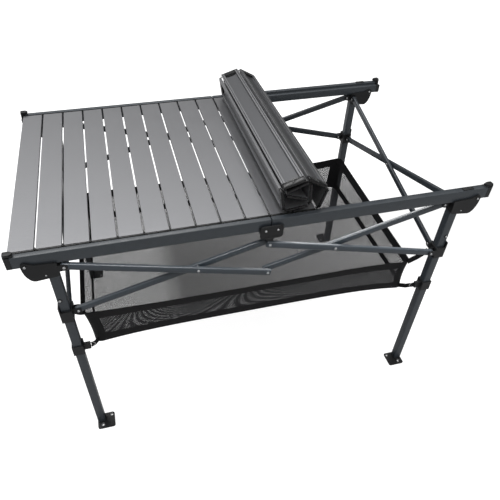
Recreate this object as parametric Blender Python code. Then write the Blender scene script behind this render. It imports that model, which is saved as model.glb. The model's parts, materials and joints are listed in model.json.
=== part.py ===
"""Folding camp table with a roll-top slat deck, a scissor frame and a hanging net basket.

World frame: metres, X along the long side, Y from the near side to the far side, Z up.
The origin is on the floor under the middle of the table.
"""

import math

import bmesh
import bpy
from mathutils import Matrix, Vector

# Driving dimensions, in metres unless the name says otherwise

TOP_HEIGHT = 0.7175
SLAT_PITCH = 0.0595
SLAT_GAP = 0.0045
SLAT_THICKNESS = 0.0075
SLAT_SKIN = 0.0015
SLAT_RIB = 0.0015
SLAT_EDGE_BAND = 0.0095
SLAT_LENGTH = 0.6456
SLATS_PER_HALF = 10
FLAT_PANELS = (("slats_01_to_03", 1, 3), ("slats_04_to_06", 4, 3), ("slats_07_to_09", 7, 3),
               ("slats_10_to_11", 10, 2), ("slat_12", 12, 1))
ROLL_TURNS_DEG = (71.8, 79.6, 45.4, 82.0, 89.1, 85.9, 108.5, 138.8)
PLUG_LENGTH = 0.008
KNUCKLE_RADIUS = 0.0009

RAIL_HEIGHT = 0.032
RAIL_UPPER_WIDTH = 0.0135
RAIL_LEDGE_WIDTH = 0.0133
RAIL_WALL = 0.0015
RAIL_SEAM_HALF = 0.0012
RAIL_OVERRUN = 0.005
CAP_LENGTH = 0.012
CAP_SPIGOT = 0.015
LIP_RISE = 0.003
LIP_THICKNESS = 0.003
LIP_LENGTH = 0.020
TAB_LENGTH = 0.030
TAB_FROM_LEG = 0.0055
TAB_RISE = 0.0025

LEG_FROM_RAIL_END = 0.0895
LEG_WIDTH = 0.023
LEG_WALL = 0.0012
LEG_INSET_FROM_RAIL = 0.0008
LEG_BELOW_RAIL = 0.005
FOOT_INBOARD = (0.0400, 0.0150)
FOOT_OUTBOARD = (0.0125, 0.0355)
FOOT_CORNER = 0.006
FOOT_THICKNESS = 0.004
FOOT_SPIGOT = 0.015
FOOT_HOLE_RADIUS = 0.003

HIGH_PIVOT_BELOW_RAIL = 0.0135
PIVOT_DROP = 0.161
LONG_PIVOT_INSET = 0.0275
SHORT_PIVOT_INSET = 0.0245
BAR_HEIGHT = 0.018
LONG_BAR_THICKNESS = 0.010
SHORT_BAR_THICKNESS = 0.0095
LONG_PLANE_GAP = 0.0045
SHORT_PLANE_GAP = 0.0015
SWING_ROOM = 0.0010
RIVET_RADIUS = 0.003
RIVET_HEAD_RADIUS = 0.0046
RIVET_HEAD_HEIGHT = 0.0015
LUG_CHEEK = 0.0026
LUG_RADIUS = 0.0085

CHEEK_INNER = 0.003
CHEEK_OUTER = 0.0052
BRACKET_BELOW_RAIL = 0.0355
RAIL_PIVOT_FROM_LEG = 0.0515
RAIL_PIVOT_RISE = 0.0055
RAIL_PIVOT_BOSS = 0.009
MOON_CENTRE_FROM_LEG = 0.0375
MOON_DEPTH = 0.0465
BODY_FROM_LEG = 0.045
CENTRE_PIVOT_X = 0.0152
CENTRE_PLATE = (0.030, 0.016, 0.0085)
SADDLE_HALF = 0.0085

SLIDER_WALL = 0.003
SLIDER_BELOW = 0.020
SLIDER_ABOVE = 0.016
SLIDER_WING = 0.034
COLLAR_BELOW_PIVOT = 0.140
COLLAR_HEIGHT = 0.034
COLLAR_WALL = 0.0026
COLLAR_TAB = (0.0175, 0.005, 0.020)
BUTTON_ABOVE_SLIDER = 0.038
BUTTON_OFFSET = 0.005
BUTTON_RADIUS = 0.0035
BUTTON_PROUD = 0.003
BUTTON_FLANGE = 0.0048
BUTTON_SPRING = (0.006, 0.0008, 0.030)

BASKET_RIM_INSET = (0.0485, 0.0415)
BASKET_RIM_BELOW_SLIDER = 0.043
BASKET_DEPTH = 0.122
BASKET_TAPER = (0.012, 0.015)
BASKET_WALL = 0.002
BASKET_TAPE = 0.024
STRAP_WIDTH = 0.016

# Named clearances

TOUCH = 0.0003
SLIDE_FIT = 0.0004
PIN_FIT = 0.0004
SLAT_END_GAP = 0.0025

# Derived sizes

SLAT_WIDTH = SLAT_PITCH - SLAT_GAP
RAIL_TOP = TOP_HEIGHT
RAIL_BOTTOM = RAIL_TOP - RAIL_HEIGHT
RAIL_END_X = SLATS_PER_HALF * SLAT_PITCH + RAIL_OVERRUN
LEDGE_TOP = TOP_HEIGHT - SLAT_THICKNESS - TOUCH
RAIL_UPPER_INNER = SLAT_LENGTH / 2 + SLAT_END_GAP
RAIL_OUTER = RAIL_UPPER_INNER + RAIL_UPPER_WIDTH
RAIL_INNER = RAIL_UPPER_INNER - RAIL_LEDGE_WIDTH
LEG_X = RAIL_END_X - LEG_FROM_RAIL_END
LEG_Y = RAIL_OUTER - LEG_INSET_FROM_RAIL - LEG_WIDTH / 2
LEG_BORE = LEG_WIDTH / 2 - LEG_WALL
LEG_TOP = RAIL_BOTTOM - LEG_BELOW_RAIL
FOOT_X = (LEG_X - FOOT_INBOARD[0], LEG_X + FOOT_OUTBOARD[0])
FOOT_Y = (LEG_Y - FOOT_INBOARD[1], LEG_Y + FOOT_OUTBOARD[1])
RAIL_LENGTH = RAIL_END_X - CAP_LENGTH - TOUCH - RAIL_SEAM_HALF
TAB_START_X = LEG_X + TAB_FROM_LEG
HIGH_PIVOT_Z = RAIL_BOTTOM - HIGH_PIVOT_BELOW_RAIL
LOW_PIVOT_Z = HIGH_PIVOT_Z - PIVOT_DROP
PIVOT_X = LEG_X - LONG_PIVOT_INSET
ARM_SPREAD = LEG_Y - SHORT_PIVOT_INSET
CROSSING_X = PIVOT_X - ARM_SPREAD
SLOPE = math.atan2(PIVOT_DROP / 2, ARM_SPREAD)
LEG_ARM = ARM_SPREAD / math.cos(SLOPE)
CENTRE_ARM = CROSSING_X / math.cos(SLOPE)
CROSSING_Z = (HIGH_PIVOT_Z + LOW_PIVOT_Z) / 2
CENTRE_HIGH_Z = CROSSING_Z + CENTRE_ARM * math.sin(SLOPE)
BRACKET_OUTER = RAIL_OUTER + CHEEK_OUTER
BRACKET_INNER = RAIL_INNER - TOUCH - CHEEK_INNER
BRACKET_BASE_Z = RAIL_BOTTOM - BRACKET_BELOW_RAIL
FORK_GAP = SLIDE_FIT
LONG_OUTER_Y = BRACKET_OUTER - LUG_CHEEK - FORK_GAP - LONG_BAR_THICKNESS / 2
LONG_INNER_Y = LONG_OUTER_Y - LONG_BAR_THICKNESS - LONG_PLANE_GAP
SHORT_OUTER_X = LEG_X + LEG_WIDTH / 2 - LUG_CHEEK - FORK_GAP - SHORT_BAR_THICKNESS / 2
SHORT_INNER_X = SHORT_OUTER_X - SHORT_BAR_THICKNESS - SHORT_PLANE_GAP
RAIL_PIVOT_X = LEG_X + RAIL_PIVOT_FROM_LEG
RAIL_PIVOT_Z = RAIL_BOTTOM + RAIL_PIVOT_RISE
MOON_CENTRE_X = LEG_X + MOON_CENTRE_FROM_LEG
BODY_OUTBOARD_X = LEG_X + BODY_FROM_LEG
SLIDER_HALF = LEG_WIDTH / 2 + SLIDE_FIT + SLIDER_WALL
COLLAR_HALF = LEG_WIDTH / 2 + SLIDE_FIT + COLLAR_WALL
COLLAR_Z = (LOW_PIVOT_Z - COLLAR_BELOW_PIVOT - COLLAR_HEIGHT / 2, LOW_PIVOT_Z - COLLAR_BELOW_PIVOT + COLLAR_HEIGHT / 2)
BUTTON_Z = LOW_PIVOT_Z + SLIDER_ABOVE + BUTTON_ABOVE_SLIDER
RIM_Z = LOW_PIVOT_Z - SLIDER_BELOW - BASKET_RIM_BELOW_SLIDER
BASKET_RIM = (LEG_X - BASKET_RIM_INSET[0], LEG_Y - BASKET_RIM_INSET[1], RIM_Z)
BASKET_FLOOR = (BASKET_RIM[0] - BASKET_TAPER[0], BASKET_RIM[1] - BASKET_TAPER[1], RIM_Z - BASKET_DEPTH)
ROUND = 12
FINE_ROUND = 16

SIDES_X = {"left": -1, "right": 1}
SIDES_Y = {"near": -1, "far": 1}


def clear_scene():
    """Remove every object, so that the script can run again in one session."""
    for thing in list(bpy.data.objects):
        bpy.data.objects.remove(thing, do_unlink=True)


def finish(name, colour, roughness, metallic):
    """A plain Principled material."""
    material = bpy.data.materials.new(name)
    material.use_nodes = True
    shader = material.node_tree.nodes["Principled BSDF"]
    shader.inputs["Base Color"].default_value = (*colour, 1.0)
    shader.inputs["Roughness"].default_value = roughness
    shader.inputs["Metallic"].default_value = metallic
    return material


def closed(mesh_builder):
    """A bmesh from a builder function, with its normals turned outwards."""
    mesh = bmesh.new()
    mesh_builder(mesh)
    bmesh.ops.recalc_face_normals(mesh, faces=mesh.faces)
    return mesh


AXES = {"X": (1, 2, 0), "Y": (0, 2, 1), "Z": (0, 1, 2)}


def prism(outline, along, start, end):
    """A solid outline pushed along one axis; outline points are the other two axes in order."""
    first, second, third = AXES[along]

    def build(mesh):
        rings = []
        for level in (start, end):
            ring = []
            for u, v in outline:
                point = [0.0, 0.0, 0.0]
                point[first], point[second], point[third] = u, v, level
                ring.append(mesh.verts.new(point))
            rings.append(ring)
        count = len(outline)
        mesh.faces.new(rings[0])
        mesh.faces.new(list(reversed(rings[1])))
        for i in range(count):
            j = (i + 1) % count
            mesh.faces.new((rings[0][i], rings[1][i], rings[1][j], rings[0][j]))

    return closed(build)


def block(low, high):
    """An upright box between two corners given in any order."""
    outline = ((low[0], low[1]), (high[0], low[1]), (high[0], high[1]), (low[0], high[1]))
    return prism(outline, "Z", low[2], high[2])


def disc(centre, radius, along, start, end, sides=ROUND):
    """A round bar along one axis; centre holds the other two axes in order."""
    turn = 2 * math.pi / sides
    outline = [(centre[0] + radius * math.cos(turn * (i + 0.5)), centre[1] + radius * math.sin(turn * (i + 0.5)))
               for i in range(sides)]
    return prism(outline, along, start, end)


def arc(centre, radii, first_deg, last_deg, steps):
    """Points on an elliptic arc."""
    points = []
    for i in range(steps + 1):
        angle = math.radians(first_deg + (last_deg - first_deg) * i / steps)
        points.append((centre[0] + radii[0] * math.cos(angle), centre[1] + radii[1] * math.sin(angle)))
    return points


def lofted(low_ring, high_ring):
    """A closed solid between two rings of the same number of points."""

    def build(mesh):
        low = [mesh.verts.new(p) for p in low_ring]
        high = [mesh.verts.new(p) for p in high_ring]
        count = len(low)
        mesh.faces.new(low)
        mesh.faces.new(list(reversed(high)))
        for i in range(count):
            j = (i + 1) % count
            mesh.faces.new((low[i], high[i], high[j], low[j]))

    return closed(build)


def rivet(centre, along, low, high, head_low=True, head_high=True):
    """The shapes of a rivet whose shank spans low to high, with a head past each end."""
    overlap = RIVET_HEAD_HEIGHT * 0.2
    shapes = [disc(centre, RIVET_RADIUS, along, low - overlap, high + overlap, 8)]
    if head_low:
        shapes.append(disc(centre, RIVET_HEAD_RADIUS, along, low - RIVET_HEAD_HEIGHT, low, 8))
    if head_high:
        shapes.append(disc(centre, RIVET_HEAD_RADIUS, along, high, high + RIVET_HEAD_HEIGHT, 8))
    return shapes


def pin_hole(centre, along, low, high):
    """A cutter for a rivet's running hole."""
    return disc(centre, RIVET_RADIUS + PIN_FIT, along, low, high, 8)


def object_from(name, mesh, origin, rotation):
    """A Blender object that holds one bmesh."""
    data = bpy.data.meshes.new(name)
    mesh.to_mesh(data)
    mesh.free()
    thing = bpy.data.objects.new(name, data)
    thing.location = origin
    thing.rotation_euler = rotation
    bpy.context.scene.collection.objects.link(thing)
    return thing


def piece(name, material, shapes, cuts=(), origin=(0.0, 0.0, 0.0), rotation=(0.0, 0.0, 0.0), smooth=False):
    """One sub-part: its first shape, the others joined on, then the cuts taken out."""
    thing = object_from(name, shapes[0], origin, rotation)
    thing.data.materials.append(material)
    for operation, meshes in (("UNION", shapes[1:]), ("DIFFERENCE", cuts)):
        for i, mesh in enumerate(meshes):
            guide = object_from(f"{name}_{operation.lower()}_{i}", mesh, origin, rotation)
            guide.hide_render = True
            guide.display_type = "WIRE"
            step = thing.modifiers.new(guide.name, "BOOLEAN")
            step.operation = operation
            step.object = guide
            step.solver = "EXACT"
    if smooth:
        thing.data.shade_smooth()
        thing.data.set_sharp_from_angle(angle=math.radians(35))
    return thing


def tube_outline(half):
    """A square outline about the origin."""
    return ((-half, -half), (half, -half), (half, half), (-half, half))


def round_outline(low, high, radius):
    """A rectangle with rounded corners; low and high are opposite corners."""
    (left, right), (down, up) = sorted((low[0], high[0])), sorted((low[1], high[1]))
    points = []
    for centre, first in (((right - radius, down + radius), -90), ((right - radius, up - radius), 0),
                          ((left + radius, up - radius), 90), ((left + radius, down + radius), 180)):
        points += arc(centre, (radius, radius), first, first + 90, 3)
    return points


def shifted(outline, du, dv):
    """An outline moved in its own plane."""
    return [(u + du, v + dv) for u, v in outline]


def signed(outline, sign):
    """An outline mirrored in its first axis when sign is -1."""
    return [(u * sign, v) for u, v in outline]


def tongue(root, tip, level, radius, steps=6):
    """A lug outline from root to a rounded tip at one level; first axis runs from root to tip."""
    direction = 1 if tip > root else -1
    start = -90 if direction > 0 else 270
    end = 90 if direction > 0 else 90
    return [(root, level - radius), *arc((tip, level), (radius, radius), start, end, steps), (root, level + radius)]


# Long-side lugs carry a long bar between two cheeks, and short-side lugs carry a short bar


def long_lug(sx, sy, plane_y, root_x, level):
    """Fork shapes and hole cutter for a long bar's end."""
    outline = signed(tongue(root_x, PIVOT_X, level, LUG_RADIUS), sx)
    near = LONG_BAR_THICKNESS / 2 + FORK_GAP
    shapes = [prism(outline, "Y", sy * (plane_y + near), sy * (plane_y + near + LUG_CHEEK)),
              prism(outline, "Y", sy * (plane_y - near), sy * (plane_y - near - LUG_CHEEK))]
    reach = near + LUG_CHEEK + 0.001
    hole = pin_hole((sx * PIVOT_X, level), "Y", sy * (plane_y - reach), sy * (plane_y + reach))
    return shapes, hole


def short_lug(sx, sy, plane_x, root_y, level):
    """Fork shapes and hole cutter for a short bar's end."""
    outline = signed(tongue(root_y, ARM_SPREAD, level, LUG_RADIUS), sy)
    near = SHORT_BAR_THICKNESS / 2 + FORK_GAP
    shapes = [prism(outline, "X", sx * (plane_x + near), sx * (plane_x + near + LUG_CHEEK)),
              prism(outline, "X", sx * (plane_x - near), sx * (plane_x - near - LUG_CHEEK))]
    reach = near + LUG_CHEEK + 0.001
    hole = pin_hole((sy * ARM_SPREAD, level), "X", sx * (plane_x - reach), sx * (plane_x + reach))
    return shapes, hole


def long_plane(side_x, high):
    """The plane a long bar moves in: left-high and right-low bars run in the outer plane."""
    return LONG_OUTER_Y if (side_x == "left") == high else LONG_INNER_Y


def short_plane(high_end, this_end):
    """The plane of the short bar that ends here: the bar with its high end near is outside."""
    if high_end:
        return SHORT_OUTER_X if this_end == "near" else SHORT_INNER_X
    return SHORT_OUTER_X if this_end == "far" else SHORT_INNER_X


def build_leg(name, sx, sy, metal):
    """A square tube that stands on its foot's plate and plugs into the top bracket."""
    inner = prism(shifted(tube_outline(LEG_BORE), sx * LEG_X, sy * LEG_Y), "Z", 0.0, LEG_TOP + LEG_WIDTH)
    outer = prism(shifted(tube_outline(LEG_WIDTH / 2), sx * LEG_X, sy * LEG_Y), "Z",
                  FOOT_THICKNESS + TOUCH, LEG_TOP)
    hole = disc((sx * (LEG_X + BUTTON_OFFSET), BUTTON_Z), BUTTON_RADIUS + PIN_FIT, "Y",
                sy * (LEG_Y + LEG_BORE - 0.001), sy * (LEG_Y + LEG_WIDTH), ROUND)
    piece(name, metal, [outer], [inner, hole])


def build_foot(name, sx, sy, plastic):
    """A flat plate with two peg holes and a spigot up the leg."""
    outline = round_outline((sx * FOOT_X[0], sy * FOOT_Y[0]), (sx * FOOT_X[1], sy * FOOT_Y[1]), FOOT_CORNER)
    plate = prism(outline, "Z", 0.0, FOOT_THICKNESS)
    spigot = prism(shifted(tube_outline(LEG_BORE - SLIDE_FIT), sx * LEG_X, sy * LEG_Y), "Z",
                   FOOT_THICKNESS / 2, FOOT_THICKNESS + FOOT_SPIGOT)
    span_x = FOOT_X[1] - FOOT_X[0]
    span_y = FOOT_Y[1] - FOOT_Y[0]
    places = ((FOOT_X[0] + 0.16 * span_x, FOOT_Y[0] + 0.18 * span_y),
              (FOOT_X[0] + 0.70 * span_x, FOOT_Y[0] + 0.77 * span_y))
    holes = [disc((sx * x, sy * y), FOOT_HOLE_RADIUS, "Z", -0.001, FOOT_THICKNESS + 0.001) for x, y in places]
    piece(name, plastic, [plate, spigot], holes)


def moon_outline(outboard_limit=None, top_limit=None):
    """The half-moon cheek of the top bracket, from its outer rivet boss round to the lug side."""
    boss = arc((RAIL_PIVOT_X, RAIL_PIVOT_Z), (RAIL_PIVOT_BOSS, RAIL_PIVOT_BOSS), 120, 0, 6)
    bowl = arc((MOON_CENTRE_X, RAIL_PIVOT_Z), (RAIL_PIVOT_X + RAIL_PIVOT_BOSS - MOON_CENTRE_X, MOON_DEPTH),
               0, -90, 6)[1:]
    root_x = LEG_X - LEG_WIDTH / 2 - SLIDE_FIT - SLIDER_WALL
    points = boss + bowl + [(root_x + 0.004, BRACKET_BASE_Z), (root_x, BRACKET_BASE_Z + 0.004),
                            (root_x, RAIL_BOTTOM + 0.004)]
    points.append((RAIL_PIVOT_X - 2 * RAIL_PIVOT_BOSS, RAIL_BOTTOM + 0.007))
    if outboard_limit is not None:
        points = [(min(u, outboard_limit), min(v, top_limit)) for u, v in points]
        kept = []
        for point in points:
            if not kept or (abs(point[0] - kept[-1][0]) + abs(point[1] - kept[-1][1])) > 1e-6:
                kept.append(point)
        points = kept
    return points


def build_bracket(name, side_x, side_y, plastic):
    """The half-moon bracket on a leg's top, with a rail slot, a long lug and a short lug."""
    sx, sy = SIDES_X[side_x], SIDES_Y[side_y]
    cheek = signed(moon_outline(), sx)
    body = signed(moon_outline(BODY_OUTBOARD_X, RAIL_BOTTOM - TOUCH), sx)
    body = body[next(i for i, p in enumerate(body) if abs(p[0]) >= BODY_OUTBOARD_X - 1e-6):]
    shapes = [prism(body, "Y", sy * BRACKET_INNER, sy * BRACKET_OUTER),
              prism(cheek, "Y", sy * (RAIL_OUTER + TOUCH), sy * BRACKET_OUTER),
              prism(cheek, "Y", sy * BRACKET_INNER, sy * (RAIL_INNER - TOUCH))]
    root_x = LEG_X - LEG_WIDTH / 2
    lug, hole = long_lug(sx, sy, long_plane(side_x, True), root_x, HIGH_PIVOT_Z)
    plane_x = short_plane(True, side_y)
    side_lug, side_hole = short_lug(sx, sy, plane_x, BRACKET_INNER + 0.002, HIGH_PIVOT_Z)
    relief_half = SHORT_BAR_THICKNESS / 2 + FORK_GAP
    relief = disc((sy * ARM_SPREAD, HIGH_PIVOT_Z), BAR_HEIGHT / 2 + FORK_GAP + TOUCH + SWING_ROOM, "X",
                  sx * (plane_x - relief_half), sx * (plane_x + relief_half), FINE_ROUND)
    socket = prism(shifted(tube_outline(LEG_WIDTH / 2 + TOUCH), sx * LEG_X, sy * LEG_Y), "Z",
                   BRACKET_BASE_Z - 0.02, LEG_TOP + TOUCH)
    shapes += lug + side_lug
    if side_x == "left":
        shapes += rivet((sx * RAIL_PIVOT_X, RAIL_PIVOT_Z), "Y", *sorted((sy * BRACKET_INNER, sy * BRACKET_OUTER)))
    else:
        outer_head = sorted((sy * (BRACKET_OUTER - 0.001), sy * (BRACKET_OUTER + RIVET_HEAD_HEIGHT)))
        shapes.append(disc((sx * RAIL_PIVOT_X, RAIL_PIVOT_Z), RIVET_HEAD_RADIUS, "Y", *outer_head, 8))
    piece(name, plastic, shapes, [socket, relief, hole, side_hole])


def build_slider(name, side_x, side_y, plastic):
    """The sliding collar that both low bars of one leg end on."""
    sx, sy = SIDES_X[side_x], SIDES_Y[side_y]
    low_z, high_z = LOW_PIVOT_Z - SLIDER_BELOW, LOW_PIVOT_Z + SLIDER_ABOVE
    ring = block((sx * (LEG_X - SLIDER_HALF), sy * (LEG_Y - SLIDER_HALF), low_z),
                 (sx * (LEG_X + SLIDER_HALF), sy * BRACKET_OUTER, high_z))
    wing = block((sx * (LEG_X + SLIDER_HALF - SLIDER_WALL), sy * (LEG_Y - SLIDER_HALF + SLIDER_WALL), low_z),
                 (sx * (LEG_X + SLIDER_HALF), sy * BRACKET_OUTER, LOW_PIVOT_Z + SLIDER_WING))
    lug, hole = long_lug(sx, sy, long_plane(side_x, False), LEG_X - SLIDER_HALF + 0.002, LOW_PIVOT_Z)
    side_lug, side_hole = short_lug(sx, sy, short_plane(False, side_y), LEG_Y - SLIDER_HALF + 0.002, LOW_PIVOT_Z)
    bore = prism(shifted(tube_outline(LEG_WIDTH / 2 + SLIDE_FIT), sx * LEG_X, sy * LEG_Y), "Z",
                 low_z - 0.01, high_z + SLIDER_WING)
    piece(name, plastic, [ring, wing, *lug, *side_lug], [bore, hole, side_hole])


def build_collar(name, sx, sy, plastic):
    """The lower collar that holds one bottom corner of the basket by its tab."""
    ring = prism(shifted(tube_outline(COLLAR_HALF), sx * LEG_X, sy * LEG_Y), "Z", *COLLAR_Z)
    reach, half_width, height = COLLAR_TAB
    middle = sum(COLLAR_Z) / 2
    tab = block((sx * (LEG_X - COLLAR_HALF - reach), sy * (LEG_Y - half_width), middle - height / 2),
                (sx * (LEG_X - COLLAR_HALF + 0.001), sy * (LEG_Y + half_width), middle + height / 2))
    bore = prism(shifted(tube_outline(LEG_WIDTH / 2 + SLIDE_FIT), sx * LEG_X, sy * LEG_Y), "Z",
                 COLLAR_Z[0] - 0.01, COLLAR_Z[1] + 0.01)
    piece(name, plastic, [ring, tab], [bore])


def build_button(name, sx, sy, plastic):
    """A snap button with its flange and leaf spring inside the leg."""
    centre = (sx * (LEG_X + BUTTON_OFFSET), BUTTON_Z)
    face = LEG_Y + LEG_WIDTH / 2
    inside = LEG_Y + LEG_BORE - TOUCH
    width, thickness, height = BUTTON_SPRING
    pin = disc(centre, BUTTON_RADIUS, "Y", sy * (inside - 0.001), sy * (face + BUTTON_PROUD))
    flange = disc(centre, BUTTON_FLANGE, "Y", sy * (inside - 0.0015), sy * inside)
    leaf = block((centre[0] - width / 2, sy * (inside - 0.0012 - thickness), BUTTON_Z - height / 2),
                 (centre[0] + width / 2, sy * (inside - 0.0012), BUTTON_Z + height / 2))
    piece(name, plastic, [pin, flange, leaf], smooth=True)


def bar_outline(length):
    """A flat bar with round ends; its origin is on its leg-side pivot."""
    half = BAR_HEIGHT / 2
    return arc((length, 0.0), (half, half), -90, 90, 6) + arc((0.0, 0.0), (half, half), 90, 270, 6)


def build_long_bar(name, side_x, side_y, high, metal):
    """A scissor bar of a long side, with the rivets that it carries."""
    sx, sy = SIDES_X[side_x], SIDES_Y[side_y]
    plane = long_plane(side_x, high)
    tilt = SLOPE if high else -SLOPE
    turn = tilt if sx < 0 else math.pi - tilt
    half = LONG_BAR_THICKNESS / 2
    length = LEG_ARM + CENTRE_ARM
    reach = half + FORK_GAP + LUG_CHEEK
    shapes = [prism(bar_outline(length), "Y", -half, half)]
    shapes += rivet((0.0, 0.0), "Y", -reach - TOUCH, reach + TOUCH)
    cuts = []
    if plane == LONG_OUTER_Y:
        across = LONG_PLANE_GAP + LONG_BAR_THICKNESS + half + TOUCH
        for place in (LEG_ARM, length):
            ends = sorted((-sy * across, sy * half))
            shapes += rivet((place, 0.0), "Y", *ends)
            washer = sorted((-sy * (half - 0.0005), -sy * (half + LONG_PLANE_GAP - TOUCH)))
            shapes.append(disc((place, 0.0), 2 * RIVET_RADIUS, "Y", *washer, 8))
    else:
        for place in (LEG_ARM, length):
            cuts.append(pin_hole((place, 0.0), "Y", -half - 0.001, half + 0.001))
    level = HIGH_PIVOT_Z if high else LOW_PIVOT_Z
    piece(name, metal, shapes, cuts, (sx * PIVOT_X, sy * plane, level), (0.0, turn, 0.0))


def build_short_bar(name, side_x, high_end, metal):
    """A scissor bar of a short side; its origin is on its high pivot."""
    sx, sy = SIDES_X[side_x], SIDES_Y[high_end]
    plane = SHORT_OUTER_X if high_end == "near" else SHORT_INNER_X
    half = SHORT_BAR_THICKNESS / 2
    reach = half + FORK_GAP + LUG_CHEEK
    outline = bar_outline(2 * LEG_ARM)
    shapes = [prism(outline, "X", -half, half)]
    cuts = []
    for place in (0.0, 2 * LEG_ARM):
        shapes += rivet((place, 0.0), "X", -reach - TOUCH, reach + TOUCH)
    if high_end == "near":
        across = SHORT_PLANE_GAP + SHORT_BAR_THICKNESS + half + TOUCH
        shapes += rivet((LEG_ARM, 0.0), "X", *sorted((-sx * across, sx * half)))
    else:
        cuts.append(pin_hole((LEG_ARM, 0.0), "X", -half - 0.001, half + 0.001))
    turn = -SLOPE if sy < 0 else math.pi + SLOPE
    piece(name, metal, shapes, cuts, (sx * plane, sy * ARM_SPREAD, HIGH_PIVOT_Z), (turn, 0.0, 0.0))


def rail_outline(sy, inset):
    """The rail's stepped profile in Y and Z, with the slat ledge inside; inset makes its bore."""
    outer = RAIL_OUTER - inset
    upper_inner = RAIL_UPPER_INNER + inset
    inner = RAIL_INNER + inset
    top, bottom, ledge = RAIL_TOP - inset, RAIL_BOTTOM + inset, LEDGE_TOP - inset
    points = ((outer, bottom), (outer, top), (upper_inner, top), (upper_inner, ledge), (inner, ledge), (inner, bottom))
    return signed(points, sy)


def build_rail(name, side_x, side_y, metal):
    """Half of a long side's folding rail: a stepped tube whose ledge carries the slats."""
    sx, sy = SIDES_X[side_x], SIDES_Y[side_y]
    end_x = RAIL_SEAM_HALF + RAIL_LENGTH
    tube = prism(rail_outline(sy, 0.0), "X", sx * RAIL_SEAM_HALF, sx * end_x)
    bore = prism(rail_outline(sy, RAIL_WALL), "X", 0.0, sx * (end_x + 0.01))
    tab = block((sx * TAB_START_X, sy * (RAIL_UPPER_INNER + RAIL_WALL), RAIL_TOP - RAIL_WALL / 2),
                (sx * (TAB_START_X + TAB_LENGTH), sy * (RAIL_OUTER - RAIL_WALL), RAIL_TOP + TAB_RISE))
    across = sorted((sy * (RAIL_INNER - 0.001), sy * (RAIL_OUTER + 0.001)))
    cuts = [bore]
    for pivot_x in (RAIL_PIVOT_X, CENTRE_PIVOT_X):
        cuts.append(pin_hole((sx * pivot_x, RAIL_PIVOT_Z), "Y", *across))
    piece(name, metal, [tube, tab], cuts, (0.0, 0.0, 0.0))


def build_end_cap(name, side_x, side_y, plastic):
    """A plastic plug on a rail's outer end, with a raised lip over the rail's corner."""
    sx, sy = SIDES_X[side_x], SIDES_Y[side_y]
    plate = prism(rail_outline(sy, 0.0), "X", sx * (RAIL_END_X - CAP_LENGTH), sx * RAIL_END_X)
    spigot = prism(rail_outline(sy, RAIL_WALL + SLIDE_FIT), "X",
                   sx * (RAIL_END_X - CAP_LENGTH - CAP_SPIGOT), sx * (RAIL_END_X - CAP_LENGTH / 2))
    lip_top = RAIL_TOP + LIP_RISE + LIP_THICKNESS
    post = block((sx * (RAIL_END_X - 0.004), sy * RAIL_UPPER_INNER, RAIL_TOP - 0.002),
                 (sx * RAIL_END_X, sy * RAIL_OUTER, lip_top))
    arm = block((sx * (RAIL_END_X - LIP_LENGTH), sy * RAIL_UPPER_INNER, RAIL_TOP + LIP_RISE),
                (sx * RAIL_END_X, sy * RAIL_OUTER, lip_top))
    piece(name, plastic, [plate, spigot, post, arm])


def build_centre_bracket(name, side_y, plastic):
    """The bracket that hinges two rail halves, with a saddle for the scissor's centre joint."""
    sy = SIDES_Y[side_y]
    half_length, below, above = CENTRE_PLATE
    low, high = RAIL_PIVOT_Z - below, RAIL_PIVOT_Z + above
    slope_x = half_length - 0.010
    outline = ((-slope_x, low), (slope_x, low), (half_length, RAIL_PIVOT_Z - 0.006), (half_length, high),
               (-half_length, high), (-half_length, RAIL_PIVOT_Z - 0.006))
    outer = prism(outline, "Y", sy * (RAIL_OUTER + TOUCH), sy * (BRACKET_OUTER - 0.002))
    inner = prism(outline, "Y", sy * (RAIL_INNER - TOUCH), sy * BRACKET_INNER)
    web = block((-SADDLE_HALF, sy * BRACKET_INNER, low), (SADDLE_HALF, sy * (BRACKET_OUTER - 0.002),
                                                         RAIL_BOTTOM - TOUCH))
    nest = CENTRE_HIGH_Z + BAR_HEIGHT / 2 + 2 * TOUCH
    saddle = block((-SADDLE_HALF, sy * (RAIL_INNER + 0.004), nest), (SADDLE_HALF, sy * (RAIL_OUTER - 0.001), low + 0.001))
    shapes = [web, outer, inner, saddle]
    for sx in (-1, 1):
        ends = sorted((sy * (BRACKET_INNER + 0.0005), sy * (BRACKET_OUTER - 0.0025)))
        shapes += rivet((sx * CENTRE_PIVOT_X, RAIL_PIVOT_Z), "Y", *ends)
    piece(name, plastic, shapes)


def slat_profile():
    """A slat's section in X and Z: a thin skin over two ribbed edge bands, top face at zero."""
    start = (SLAT_PITCH - SLAT_WIDTH) / 2
    end = start + SLAT_WIDTH
    ribs = ((start, start + SLAT_RIB), (start + SLAT_EDGE_BAND - SLAT_RIB, start + SLAT_EDGE_BAND),
            (end - SLAT_EDGE_BAND, end - SLAT_EDGE_BAND + SLAT_RIB), (end - SLAT_RIB, end))
    points = [(start, 0.0)]
    for left, right in ribs:
        if left > start:
            points.append((left, -SLAT_SKIN))
        points += [(left, -SLAT_THICKNESS), (right, -SLAT_THICKNESS)]
        if right < end:
            points.append((right, -SLAT_SKIN))
    points.append((end, 0.0))
    return points


def knuckle(edge, root, near, far):
    """A small hinge eye on a slat's edge line, at both ends of the slat; near and far are in from the end."""
    half = SLAT_LENGTH / 2
    shapes = []
    for sy in (-1, 1):
        low, high = sorted((sy * (half - near), sy * (half - far)))
        shapes.append(disc((edge, 0.0), KNUCKLE_RADIUS, "Y", low, high, 8))
        left, right = sorted((edge, root))
        shapes.append(block((left, low, -KNUCKLE_RADIUS * 1.8), (right, high, -KNUCKLE_RADIUS * 0.2)))
    return shapes


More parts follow.
